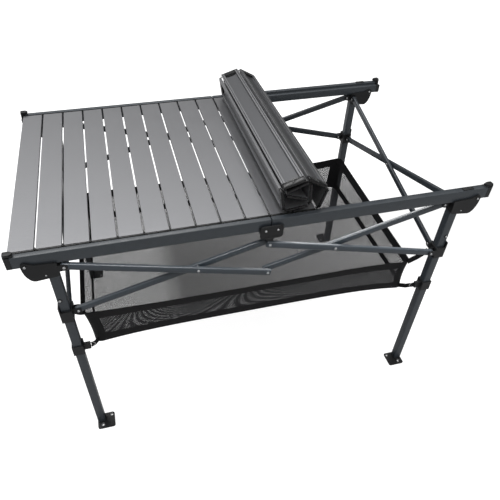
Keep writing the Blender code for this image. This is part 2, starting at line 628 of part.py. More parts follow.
def slat_shapes(offset, head=False, tail=False):
    """One slat and its two end plugs, moved along X, with hinge eyes at its head or tail edge."""
    half = SLAT_LENGTH / 2
    start = (SLAT_PITCH - SLAT_WIDTH) / 2 + offset
    shapes = [prism(shifted(slat_profile(), offset, 0.0), "Y", -half + PLUG_LENGTH / 2, half - PLUG_LENGTH / 2)]
    for sy in (-1, 1):
        low, high = sorted((sy * (half - PLUG_LENGTH), sy * half))
        shapes.append(block((start, low, -SLAT_THICKNESS), (start + SLAT_WIDTH, high, 0.0)))
    middle = PLUG_LENGTH / 2
    if head:
        shapes += knuckle(offset, start + 0.0005, middle - TOUCH / 2, 0.0004)
    if tail:
        shapes += knuckle(offset + SLAT_PITCH, start + SLAT_WIDTH - 0.0005, PLUG_LENGTH - 0.0004, middle + TOUCH / 2)
    return shapes


def build_flat_panel(name, first, count, metal):
    """Flat slats side by side, joined at their ends by the short links between their plugs."""
    shapes = []
    for i in range(count):
        shapes += slat_shapes(i * SLAT_PITCH, tail=first + i == FLAT_PANELS[-1][1])
    gap_half = (SLAT_PITCH - SLAT_WIDTH) / 2 + 0.001
    for i in range(1, count):
        for sy in (-1, 1):
            low, high = sorted((sy * (SLAT_LENGTH / 2 - 0.7 * PLUG_LENGTH), sy * (SLAT_LENGTH / 2 - 0.2 * PLUG_LENGTH)))
            shapes.append(block((i * SLAT_PITCH - gap_half, low, -0.7 * SLAT_THICKNESS),
                                (i * SLAT_PITCH + gap_half, high, -0.3 * SLAT_THICKNESS)))
    edge = (first - SLATS_PER_HALF - 1) * SLAT_PITCH
    piece(name, metal, shapes, (), (edge, 0.0, TOP_HEIGHT))


def build_roll(first, metal):
    """The rolled slats, each turned about its hinge line at the edge of the slat before it."""
    edge = Vector(((first - SLATS_PER_HALF - 1) * SLAT_PITCH, 0.0, TOP_HEIGHT))
    total = 0.0
    for i, turn in enumerate(ROLL_TURNS_DEG):
        total += math.radians(turn)
        shapes = slat_shapes(0.0, head=True, tail=i + 1 < len(ROLL_TURNS_DEG))
        piece(f"slat_{first + i:02d}", metal, shapes, (), edge, (0.0, -total, 0.0))
        edge = edge + Matrix.Rotation(-total, 3, "Y") @ Vector((SLAT_PITCH, 0.0, 0.0))


def ring_at(half_x, half_y, z):
    """Four corners of a level rectangle."""
    return [(-half_x, -half_y, z), (half_x, -half_y, z), (half_x, half_y, z), (-half_x, half_y, z)]


def build_basket(name, cloth):
    """The hanging net basket: thin sloping walls, a taped rim, and corner straps to slider and collar."""
    rim_x, rim_y, rim_z = BASKET_RIM
    floor_x, floor_y, floor_z = BASKET_FLOOR
    outer = lofted(ring_at(floor_x, floor_y, floor_z), ring_at(rim_x, rim_y, rim_z))
    rise = (rim_z - floor_z)
    lean_x, lean_y = (rim_x - floor_x) / rise, (rim_y - floor_y) / rise
    lift = BASKET_WALL
    low = ring_at(floor_x - BASKET_WALL + lean_x * lift, floor_y - BASKET_WALL + lean_y * lift, floor_z + lift)
    over = 0.01
    high = ring_at(rim_x - BASKET_WALL + lean_x * over, rim_y - BASKET_WALL + lean_y * over, rim_z + over)
    shapes = [outer]
    tape = 0.0015
    band_low = rim_z - BASKET_TAPE
    shapes.append(lofted(ring_at(rim_x - lean_x * BASKET_TAPE + tape, rim_y - lean_y * BASKET_TAPE + tape, band_low),
                         ring_at(rim_x + tape, rim_y + tape, rim_z)))
    tab_x = LEG_X - COLLAR_HALF - COLLAR_TAB[0] - TOUCH
    tab_y = LEG_Y
    tab_z = sum(COLLAR_Z) / 2
    half = STRAP_WIDTH / 2
    lug_x = PIVOT_X - 0.002
    lug_y = LONG_INNER_Y - LONG_BAR_THICKNESS / 2 - FORK_GAP - LUG_CHEEK - RIVET_HEAD_HEIGHT - TOUCH
    lug_z = LOW_PIVOT_Z - SLIDER_BELOW
    for sx in (-1, 1):
        for sy in (-1, 1):
            start = [(sx * (floor_x - 0.001), sy * (floor_y - 0.004), floor_z + 0.003),
                     (sx * (floor_x - 0.001), sy * (floor_y - 0.004), floor_z + 0.003 + STRAP_WIDTH),
                     (sx * (floor_x - 0.001), sy * (floor_y - 0.001), floor_z + 0.003 + STRAP_WIDTH),
                     (sx * (floor_x - 0.001), sy * (floor_y - 0.001), floor_z + 0.003)]
            end = [(sx * tab_x, sy * (tab_y - 0.0015), tab_z - half), (sx * tab_x, sy * (tab_y - 0.0015), tab_z + half),
                   (sx * tab_x, sy * (tab_y + 0.0015), tab_z + half), (sx * tab_x, sy * (tab_y + 0.0015), tab_z - half)]
            shapes.append(lofted(start, end))
            low_end = [(sx * (rim_x - 0.003), sy * (rim_y - 0.003), rim_z - 0.016),
                       (sx * (rim_x - 0.003), sy * (rim_y - 0.012), rim_z - 0.002),
                       (sx * (rim_x + 0.001), sy * (rim_y - 0.012), rim_z - 0.002),
                       (sx * (rim_x + 0.001), sy * (rim_y - 0.003), rim_z - 0.016)]
            high_end = [(sx * (lug_x - 0.003), sy * (lug_y - 0.001), lug_z - 0.005),
                        (sx * (lug_x - 0.003), sy * (lug_y - 0.010), lug_z - 0.0003),
                        (sx * (lug_x + 0.001), sy * (lug_y - 0.010), lug_z - 0.0003),
                        (sx * (lug_x + 0.001), sy * (lug_y - 0.001), lug_z - 0.005)]
            shapes.append(lofted(low_end, high_end))
    piece(name, cloth, shapes, [lofted(low, high)])


def main():
    """Build every sub-part of the table."""
    clear_scene()
    metal = finish("powder_coat", (0.062, 0.072, 0.082), 0.45, 0.0)
    plastic = finish("black_plastic", (0.018, 0.019, 0.021), 0.5, 0.0)
    slat_metal = finish("slat_aluminium", (0.36, 0.37, 0.38), 0.38, 0.9)
    cloth = finish("net_cloth", (0.03, 0.031, 0.033), 0.85, 0.0)
    for side_y, sy in SIDES_Y.items():
        for side_x, sx in SIDES_X.items():
            corner = f"{side_y}_{side_x}"
            build_leg(f"leg_{corner}", sx, sy, metal)
            build_foot(f"foot_{corner}", sx, sy, plastic)
            build_bracket(f"top_bracket_{corner}", side_x, side_y, plastic)
            build_slider(f"slider_{corner}", side_x, side_y, plastic)
            build_collar(f"lower_collar_{corner}", sx, sy, plastic)
            build_button(f"snap_button_{corner}", sx, sy, plastic)
            build_rail(f"rail_{corner}", side_x, side_y, metal)
            build_end_cap(f"end_cap_{corner}", side_x, side_y, plastic)
            for high in (True, False):
                level = "high" if high else "low"
                build_long_bar(f"long_bar_{corner}_{level}", side_x, side_y, high, metal)
        build_centre_bracket(f"centre_bracket_{side_y}", side_y, plastic)
    for side_x in SIDES_X:
        for high_end in SIDES_Y:
            build_short_bar(f"short_bar_{side_x}_{high_end}_high", side_x, high_end, metal)
    for name, first, count in FLAT_PANELS:
        build_flat_panel(name, first, count, slat_metal)
    build_roll(FLAT_PANELS[-1][1] + 1, slat_metal)
    build_basket("net_basket", cloth)


main()
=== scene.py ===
"""Looks of a folding camp table: slat deck, roll, powder-coated frame, plastic fittings and a net basket."""

import json
import logging
import math
from collections.abc import Callable, Iterable, Sequence
from dataclasses import dataclass
from enum import Enum

import bmesh
import bpy
from mathutils import Matrix, Vector

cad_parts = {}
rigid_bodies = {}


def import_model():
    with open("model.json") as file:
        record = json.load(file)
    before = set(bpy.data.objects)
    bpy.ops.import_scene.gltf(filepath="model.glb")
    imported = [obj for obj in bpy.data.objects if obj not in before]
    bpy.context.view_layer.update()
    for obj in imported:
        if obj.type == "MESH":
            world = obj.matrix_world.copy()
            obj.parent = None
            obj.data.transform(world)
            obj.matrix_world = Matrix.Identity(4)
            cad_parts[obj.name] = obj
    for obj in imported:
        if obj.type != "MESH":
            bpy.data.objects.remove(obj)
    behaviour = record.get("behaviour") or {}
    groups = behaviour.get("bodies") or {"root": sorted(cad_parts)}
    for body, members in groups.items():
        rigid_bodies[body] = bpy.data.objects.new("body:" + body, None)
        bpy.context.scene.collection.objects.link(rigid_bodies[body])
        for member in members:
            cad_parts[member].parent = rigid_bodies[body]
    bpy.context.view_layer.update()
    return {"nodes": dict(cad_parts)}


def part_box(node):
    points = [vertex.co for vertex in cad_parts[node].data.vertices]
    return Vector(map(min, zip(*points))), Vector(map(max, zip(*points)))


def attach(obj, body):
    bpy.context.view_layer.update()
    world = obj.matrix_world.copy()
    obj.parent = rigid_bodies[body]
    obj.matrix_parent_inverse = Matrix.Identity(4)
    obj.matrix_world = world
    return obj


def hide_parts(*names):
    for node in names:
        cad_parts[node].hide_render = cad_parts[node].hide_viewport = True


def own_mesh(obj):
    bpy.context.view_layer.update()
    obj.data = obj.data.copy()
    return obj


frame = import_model()
LOG = logging.getLogger("camp_table")

Pair = tuple[float, float]
Point = tuple[float, float, float]
Colour = tuple[float, float, float]
Outline = Sequence[Pair]
Place = Point | Vector
Socket = bpy.types.NodeSocket
Material = bpy.types.Material


class Slot(Enum):
    """The record's material slots."""

    PAINT = "frame_paint"
    SLAT = "slat_aluminium"
    PLASTIC = "black_plastic"
    CLOTH = "basket_fabric"


class Side(Enum):
    """Which way along an axis a repeated piece stands."""

    NEAR = ("near", -1)
    FAR = ("far", 1)
    LEFT = ("left", -1)
    RIGHT = ("right", 1)

    @property
    def word(self) -> str:
        """The side's name in node names."""
        return self.value[0]

    @property
    def sign(self) -> int:
        """The side's sign along its axis."""
        return self.value[1]


LONG_SIDES = (Side.NEAR, Side.FAR)
ENDS = (Side.LEFT, Side.RIGHT)


@dataclass(frozen=True)
class Corner:
    """One corner of the table."""

    side: Side
    end: Side

    @property
    def word(self) -> str:
        """The corner's name in node names."""
        return f"{self.side.word}_{self.end.word}"

    @property
    def out(self) -> Vector:
        """The way out from its long side."""
        return Vector((0.0, self.side.sign, 0.0))

    def body(self, kind: str) -> str:
        """The name of one of its CAD bodies."""
        return f"{kind}_{self.word}_body"

    def place(self, x: float, y: float, z: float) -> Vector:
        """A place or a way at the far right corner, mirrored to this one."""
        return Vector((self.end.sign * x, self.side.sign * y, z))


CORNERS = tuple(Corner(side, end) for side in LONG_SIDES for end in ENDS)
BOTH_WAYS = (-1, 1)
UNSET_UV = 1e-9
TUBE_SMOOTH_DEG = 25.0
CLOTH_SMOOTH_DEG = 60.0


# Shader building


class Nodes:
    """Adds nodes to one node tree and wires their sockets by name."""

    def __init__(self, tree: bpy.types.NodeTree) -> None:
        """Starts on a material's or a group's node tree."""
        self.tree = tree

    def feed(self, node: bpy.types.Node, inputs: dict) -> None:
        """Wires or sets some of a node's inputs.

        Args:
            node: the node.
            inputs: values or sockets by input name or number.
        """
        for key, value in inputs.items():
            if isinstance(value, Socket):
                self.tree.links.new(value, node.inputs[key])
            else:
                node.inputs[key].default_value = value

    def add(self, kind: str, inputs: dict | None = None, **settings: object) -> bpy.types.Node:
        """Adds a node.

        Args:
            kind: the node type's identifier.
            inputs: values or sockets by input name or number.
            settings: attributes to set on the node.

        Returns:
            The new node.
        """
        node = self.tree.nodes.new(kind)
        for name, value in settings.items():
            setattr(node, name, value)
        self.feed(node, inputs or {})
        return node

    def maths(self, operation: str, *values: object, clamp: bool = False) -> Socket:
        """A Math node's output for its values or sockets."""
        inputs = dict(enumerate(values))
        return self.add("ShaderNodeMath", inputs, operation=operation, use_clamp=clamp).outputs[0]

    def ramp(self, value: Socket, low: float, high: float, first: float = 0.0, last: float = 1.0) -> Socket:
        """A clamped Map Range of one value."""
        inputs = {"Value": value, "From Min": low, "From Max": high, "To Min": first, "To Max": last}
        return self.add("ShaderNodeMapRange", inputs).outputs["Result"]

    def noise(self, scale: object, detail: float, place: Socket | None = None) -> Socket:
        """A Noise Texture's value.

        Args:
            scale: its scale, as a number or a socket.
            detail: its detail.
            place: its coordinates, or none for the piece's own box.

        Returns:
            The value's socket.
        """
        inputs = {"Scale": scale, "Detail": detail}
        if place is not None:
            inputs["Vector"] = place
        return self.add("ShaderNodeTexNoise", inputs).outputs["Fac"]

    def bump(self, height: Socket, strength: float, distance: float) -> Socket:
        """A Bump node's normal."""
        inputs = {"Height": height, "Strength": strength, "Distance": distance}
        return self.add("ShaderNodeBump", inputs).outputs["Normal"]

    def split(self, vector: Socket) -> bpy.types.Node:
        """A Separate XYZ node of a vector."""
        return self.add("ShaderNodeSeparateXYZ", {0: vector})

    def mix(self, factor: object, a: object, b: object) -> Socket:
        """A colour mix.

        Args:
            factor: how much of the second colour shows, as a number or a socket.
            a: the first colour or its socket.
            b: the second colour or its socket.

        Returns:
            The mixed colour's socket.
        """
        node = self.add("ShaderNodeMix", {"Factor": factor}, data_type="RGBA")
        for name, value in (("A", a), ("B", b)):
            socket = next(s for s in node.inputs if s.name == name and s.type == "RGBA")
            if isinstance(value, Socket):
                self.tree.links.new(value, socket)
            else:
                socket.default_value = (*value, 1.0)
        return next(s for s in node.outputs if s.type == "RGBA")


@dataclass
class EffectGroups:
    """The shader node groups that several finishes share, each built once."""

    broad_share: float = 0.05
    sharp_edge: Pair = (0.52, 0.62)
    wear_scale: float = 180.0
    wear_break: Pair = (0.35, 0.6)
    dust_size: float = 0.08
    dust_tilt: Pair = (0.2, 1.0)
    dust_break: Pair = (0.3, 0.8)
    cloth_scale: float = 90.0
    middle: Pair = (0.3, 0.7)

    def __post_init__(self) -> None:
        """Builds every group."""
        self.grain = self._group("fine_grain", {"Size": 0.001}, ("Height", "Shade"), self._grain)
        # Edge mask: rubbed wear on paint and plastic; on the slats it is partly a painted highlight along the
        # band edges.
        self.wear = self._group("edge_wear", {"Amount": 0.5}, ("Mask",), self._wear)
        self.dust = self._group("dust_film", {"Amount": 0.3}, ("Mask",), self._dust)
        self.weave = self._group("tape_weave", {"Pitch": 0.0016}, ("Height", "Shade"), self._weave)

    @staticmethod
    def _group(name: str, inputs: dict[str, float], outputs: Sequence[str],
               build: Callable[[Nodes, bpy.types.Node], dict]) -> bpy.types.NodeTree:
        """Makes one group with float sockets and fills it.

        Args:
            name: the group's name.
            inputs: input names with their usual values.
            outputs: output names.
            build: adds the nodes and returns a socket for each output.

        Returns:
            The group's node tree.
        """
        tree = bpy.data.node_groups.new(name, "ShaderNodeTree")
        for key, value in inputs.items():
            socket = tree.interface.new_socket(key, in_out="INPUT", socket_type="NodeSocketFloat")
            socket.default_value = value
        for key in outputs:
            tree.interface.new_socket(key, in_out="OUTPUT", socket_type="NodeSocketFloat")
        nodes = Nodes(tree)
        results = build(nodes, nodes.add("NodeGroupInput"))
        nodes.add("NodeGroupOutput", results)
        return tree

    @staticmethod
    def _position(nodes: Nodes) -> Socket:
        """The piece's own coordinates in metres."""
        return nodes.add("ShaderNodeTexCoord").outputs["Object"]

    def _grain(self, nodes: Nodes, given: bpy.types.Node) -> dict:
        """Fine pebbled grain from two noises.

        Args:
            nodes: the group's node helper.
            given: the group's input node.

        Returns:
            A socket for each output.
        """
        scale = nodes.maths("DIVIDE", 1.0, given.outputs["Size"])
        fine = nodes.noise(scale, 2.0, self._position(nodes))
        broad = nodes.noise(nodes.maths("MULTIPLY", scale, self.broad_share), 3.0, self._position(nodes))
        return {"Height": fine, "Shade": nodes.ramp(broad, *self.middle)}

    def _wear(self, nodes: Nodes, given: bpy.types.Node) -> dict:
        """Lighter sharp edges, broken up by noise: rubbed wear on paint and plastic, and on the slats partly
        rubbed metal and partly a painted highlight.

        Args:
            nodes: the group's node helper.
            given: the group's input node.

        Returns:
            A socket for each output.
        """
        edge = nodes.ramp(nodes.add("ShaderNodeNewGeometry").outputs["Pointiness"], *self.sharp_edge)
        patches = nodes.ramp(nodes.noise(self.wear_scale, 4.0), *self.wear_break)
        worn_and_glint = nodes.maths("MULTIPLY", edge, patches)
        return {"Mask": nodes.maths("MULTIPLY", worn_and_glint, given.outputs["Amount"], clamp=True)}

    def _dust(self, nodes: Nodes, given: bpy.types.Node) -> dict:
        """A thin film that is heavier on faces that look up.

        Args:
            nodes: the group's node helper.
            given: the group's input node.

        Returns:
            A socket for each output.
        """
        facing = nodes.split(nodes.add("ShaderNodeNewGeometry").outputs["Normal"])
        up = nodes.ramp(facing.outputs["Z"], *self.dust_tilt)
        cloud = nodes.noise(1 / self.dust_size, 5.0, self._position(nodes))
        film = nodes.maths("MULTIPLY", up, nodes.ramp(cloud, *self.dust_break))
        return {"Mask": nodes.maths("MULTIPLY", film, given.outputs["Amount"], clamp=True)}

    def _weave(self, nodes: Nodes, given: bpy.types.Node) -> dict:
        """Ribbed tape weave across UV coordinates that are in metres.

        Args:
            nodes: the group's node helper.
            given: the group's input node.

        Returns:
            A socket for each output.
        """
        uv = nodes.split(nodes.add("ShaderNodeUVMap").outputs["UV"])
        turn = nodes.maths("DIVIDE", math.tau, given.outputs["Pitch"])
        half_turn = nodes.maths("MULTIPLY", turn, 0.5)
        ribs = nodes.maths("SINE", nodes.maths("MULTIPLY", uv.outputs["X"], turn))
        rows = nodes.maths("SINE", nodes.maths("MULTIPLY", uv.outputs["Y"], half_turn))
        cloth = nodes.maths("MULTIPLY_ADD", nodes.maths("MULTIPLY", ribs, rows), 0.5, 0.5)
        return {"Height": cloth, "Shade": nodes.ramp(nodes.noise(self.cloth_scale, 4.0), *self.middle)}

    @staticmethod
    def place(nodes: Nodes, group: bpy.types.NodeTree, **values: float) -> bpy.types.Node:
        """Places a group in a material with its own values."""
        return nodes.add("ShaderNodeGroup", values, node_tree=group)


EFFECTS = EffectGroups()


def new_material(name: str) -> tuple[Material, Nodes, bpy.types.Node]:
    """Makes an empty material.

    Args:
        name: its name.

    Returns:
        The material, its node helper and its Principled shader.
    """
    material = bpy.data.materials.new(name)
    material.use_nodes = True
    return material, Nodes(material.node_tree), material.node_tree.nodes["Principled BSDF"]


def tinted(colour: Colour, share: float) -> list[float]:
    """A colour made darker or lighter by a share."""
    return [c * share for c in colour]


@dataclass(frozen=True)
class PebbledSkin:
    """A skin with a fine pebble, rubbed edges and a little dust."""

    name: str
    colour: Colour
    tones: Pair
    rubbed: Colour
    dusty: Colour
    roughness: Pair
    grain_size: float
    wear: float
    dust: float
    relief: float
    relief_depth: float
    specular: float

    def material(self) -> Material:
        """Builds the material.

        Returns:
            The material.
        """
        material, nodes, shader = new_material(self.name)
        grain = EFFECTS.place(nodes, EFFECTS.grain, Size=self.grain_size)
        worn_and_glint = EFFECTS.place(nodes, EFFECTS.wear, Amount=self.wear)
        dust = EFFECTS.place(nodes, EFFECTS.dust, Amount=self.dust)
        shade = grain.outputs["Shade"]
        tone = nodes.mix(shade, *(tinted(self.colour, share) for share in self.tones))
        tone = nodes.mix(worn_and_glint.outputs["Mask"], tone, self.rubbed)
        nodes.feed(shader, {"Base Color": nodes.mix(dust.outputs["Mask"], tone, self.dusty),
                            "Roughness": nodes.ramp(shade, 0.0, 1.0, *self.roughness),
                            "Normal": nodes.bump(grain.outputs["Height"], self.relief, self.relief_depth),
                            "Specular IOR Level": self.specular})
        return material


@dataclass(frozen=True)
class PowderCoat(PebbledSkin):
    """Slate-grey powder coat with light rubbed edges."""

    name: str = "slate_powder_coat"
    colour: Colour = (0.0225, 0.0285, 0.0355)
    tones: Pair = (0.9, 1.12)
    rubbed: Colour = (0.12, 0.135, 0.15)
    dusty: Colour = (0.3, 0.3, 0.29)
    roughness: Pair = (0.30, 0.40)
    grain_size: float = 0.0009
    wear: float = 0.45
    dust: float = 0.1
    relief: float = 0.18
    relief_depth: float = 0.0003
    specular: float = 0.45


@dataclass(frozen=True)
class MouldedPlastic(PebbledSkin):
    """Black injection-moulded plastic with a spark-eroded skin."""

    name: str = "black_moulded_plastic"
    colour: Colour = (0.0075, 0.0078, 0.0085)
    tones: Pair = (1.0, 1.5)
    rubbed: Colour = (0.05, 0.052, 0.055)
    dusty: Colour = (0.25, 0.25, 0.25)
    roughness: Pair = (0.37, 0.50)
    grain_size: float = 0.0007
    wear: float = 0.5
    dust: float = 0.06
    relief: float = 0.25
    relief_depth: float = 0.0003
    specular: float = 0.3


@dataclass(frozen=True)
class SatinAluminium:
    """Anodised slat metal, brushed along the slat, with faint handling marks and light edges that are partly
    rubbed metal and partly a painted highlight.
    """

    name: str = "satin_anodised_aluminium"
    colour: Colour = (0.385, 0.389, 0.408)
    roughness: float = 0.29
    brush_scale: Point = (1500.0, 9.0, 1500.0)
    brush_tones: Pair = (0.975, 1.02)
    brush_roughness: float = 0.012
    mark_scale: float = 14.0
    mark_amount: float = 0.16
    mark_tone: float = 0.72
    mark_roughness: float = 0.05
    brush_ramp: Pair = (0.35, 0.65)
    mark_ramp: Pair = (0.35, 0.7)
    wear: float = 0.5
    # Edge colour: partly rubbed bare metal, partly a painted highlight along the slats' band edges.
    rubbed: Colour = (0.72, 0.72, 0.73)
    relief: Pair = (0.02, 0.0002)
    metallic: float = 0.85

    def material(self) -> Material:
        """Builds the material.

        Returns:
            The material.
        """
        material, nodes, shader = new_material(self.name)
        place = nodes.add("ShaderNodeTexCoord").outputs["Object"]
        stretched = nodes.add("ShaderNodeMapping", {"Vector": place, "Scale": self.brush_scale})
        brush = nodes.noise(1.0, 3.0, stretched.outputs["Vector"])
        streak = nodes.ramp(brush, *self.brush_ramp)
        cloud = nodes.ramp(nodes.noise(self.mark_scale, 5.0, place), *self.mark_ramp)
        # Light sharp edges: partly rubbed metal, partly a painted highlight along the band edges.
        worn_and_glint = EFFECTS.place(nodes, EFFECTS.wear, Amount=self.wear)
        tone = nodes.mix(streak, *(tinted(self.colour, share) for share in self.brush_tones))
        marks = nodes.maths("MULTIPLY", cloud, self.mark_amount)
        tone = nodes.mix(marks, tone, tinted(self.colour, self.mark_tone))
        brushed = nodes.ramp(streak, 0.0, 1.0, self.roughness - self.brush_roughness,
                             self.roughness + self.brush_roughness)
        rough = nodes.maths("ADD", brushed, nodes.maths("MULTIPLY", cloud, self.mark_roughness))
        nodes.feed(shader, {"Base Color": nodes.mix(worn_and_glint.outputs["Mask"], tone, self.rubbed),
                            "Roughness": rough, "Normal": nodes.bump(brush, *self.relief),
                            "Metallic": self.metallic})
        return material


@dataclass(frozen=True)
class RivetSteel:
    """Bright zinc-plated rivet and ring steel."""

    colour: Colour = (0.62, 0.63, 0.64)
    dull: float = 0.8
    roughness: Pair = (0.24, 0.36)
    grain_size: float = 0.0012

    def material(self) -> Material:
        """Builds the material.

        Returns:
            The material.
        """
        material, nodes, shader = new_material("plated_rivet_steel")
        shade = EFFECTS.place(nodes, EFFECTS.grain, Size=self.grain_size).outputs["Shade"]
        nodes.feed(shader, {"Base Color": nodes.mix(shade, tinted(self.colour, self.dull), self.colour),
                            "Roughness": nodes.ramp(shade, 0.0, 1.0, *self.roughness), "Metallic": 1.0})
        return material


@dataclass(frozen=True)
class NetCloth:
    """Black knitted net: diamond holes between threads, on UV coordinates in metres."""

    pitch: float = 0.0018
    thread: Pair = (0.7, 0.78)
    colour: Colour = (0.014, 0.014, 0.0155)
    pale: float = 1.9
    patch_scale: float = 60.0
    patch_ramp: Pair = (0.3, 0.7)
    relief: Pair = (0.5, 0.0004)
    roughness: float = 0.7
    specular: float = 0.2

    def material(self) -> Material:
        """Builds the material.

        Returns:
            The material.
        """
        material, nodes, shader = new_material("black_net_cloth")
        uv = nodes.split(nodes.add("ShaderNodeUVMap").outputs["UV"])
        half_turn = math.pi / self.pitch
        ways = []
        for operation in ("ADD", "SUBTRACT"):
            way = nodes.maths(operation, uv.outputs["X"], uv.outputs["Y"])
            wave = nodes.maths("SINE", nodes.maths("MULTIPLY", way, half_turn))
            ways.append(nodes.maths("ABSOLUTE", wave))
        threads = nodes.ramp(nodes.maths("MULTIPLY", *ways), *self.thread, 1.0, 0.0)
        patches = nodes.ramp(nodes.noise(self.patch_scale, 3.0), *self.patch_ramp)
        nodes.feed(shader, {"Base Color": nodes.mix(patches, self.colour, tinted(self.colour, self.pale)),
                            "Alpha": threads, "Normal": nodes.bump(threads, *self.relief),
                            "Roughness": self.roughness, "Specular IOR Level": self.specular})
        return material


@dataclass(frozen=True)
class WebbingCloth:
    """Black woven tape and strap."""

    colour: Colour = (0.0075, 0.0075, 0.0082)
    pale: float = 2.0
    pitch: float = 0.0018
    relief: Pair = (0.6, 0.0005)
    roughness: float = 0.72
    specular: float = 0.2

    def material(self) -> Material:
        """Builds the material.

        Returns:
            The material.
        """
        material, nodes, shader = new_material("black_woven_tape")
        weave = EFFECTS.place(nodes, EFFECTS.weave, Pitch=self.pitch)
        tone = nodes.mix(weave.outputs["Shade"], self.colour, tinted(self.colour, self.pale))
        nodes.feed(shader, {"Base Color": tone, "Normal": nodes.bump(weave.outputs["Height"], *self.relief),
                            "Roughness": self.roughness, "Specular IOR Level": self.specular})
        return material


@dataclass(frozen=True)
class Finish:
    """A material and the record's slot that its pieces belong to."""

    material: Material
    slot: Slot


class Finishes:
    """Every finish of the table, built once."""

    def __init__(self) -> None:
        """Builds the materials."""
        self.paint = Finish(PowderCoat().material(), Slot.PAINT)
        self.plastic = Finish(MouldedPlastic().material(), Slot.PLASTIC)
        dark = MouldedPlastic("black_link_plastic", (0.0048, 0.005, 0.0053), roughness=(0.21, 0.34), wear=0.1)
        self.link = Finish(dark.material(), Slot.PLASTIC)
        self.slat = Finish(SatinAluminium().material(), Slot.SLAT)
        dull = SatinAluminium("dull_mill_aluminium", (0.215, 0.218, 0.228), 0.36)
        self.underside = Finish(dull.material(), Slot.SLAT)
        self.rivet = Finish(RivetSteel().material(), Slot.PLASTIC)
        self.net = Finish(NetCloth().material(), Slot.CLOTH)
        self.tape = Finish(WebbingCloth().material(), Slot.CLOTH)


# Mesh building


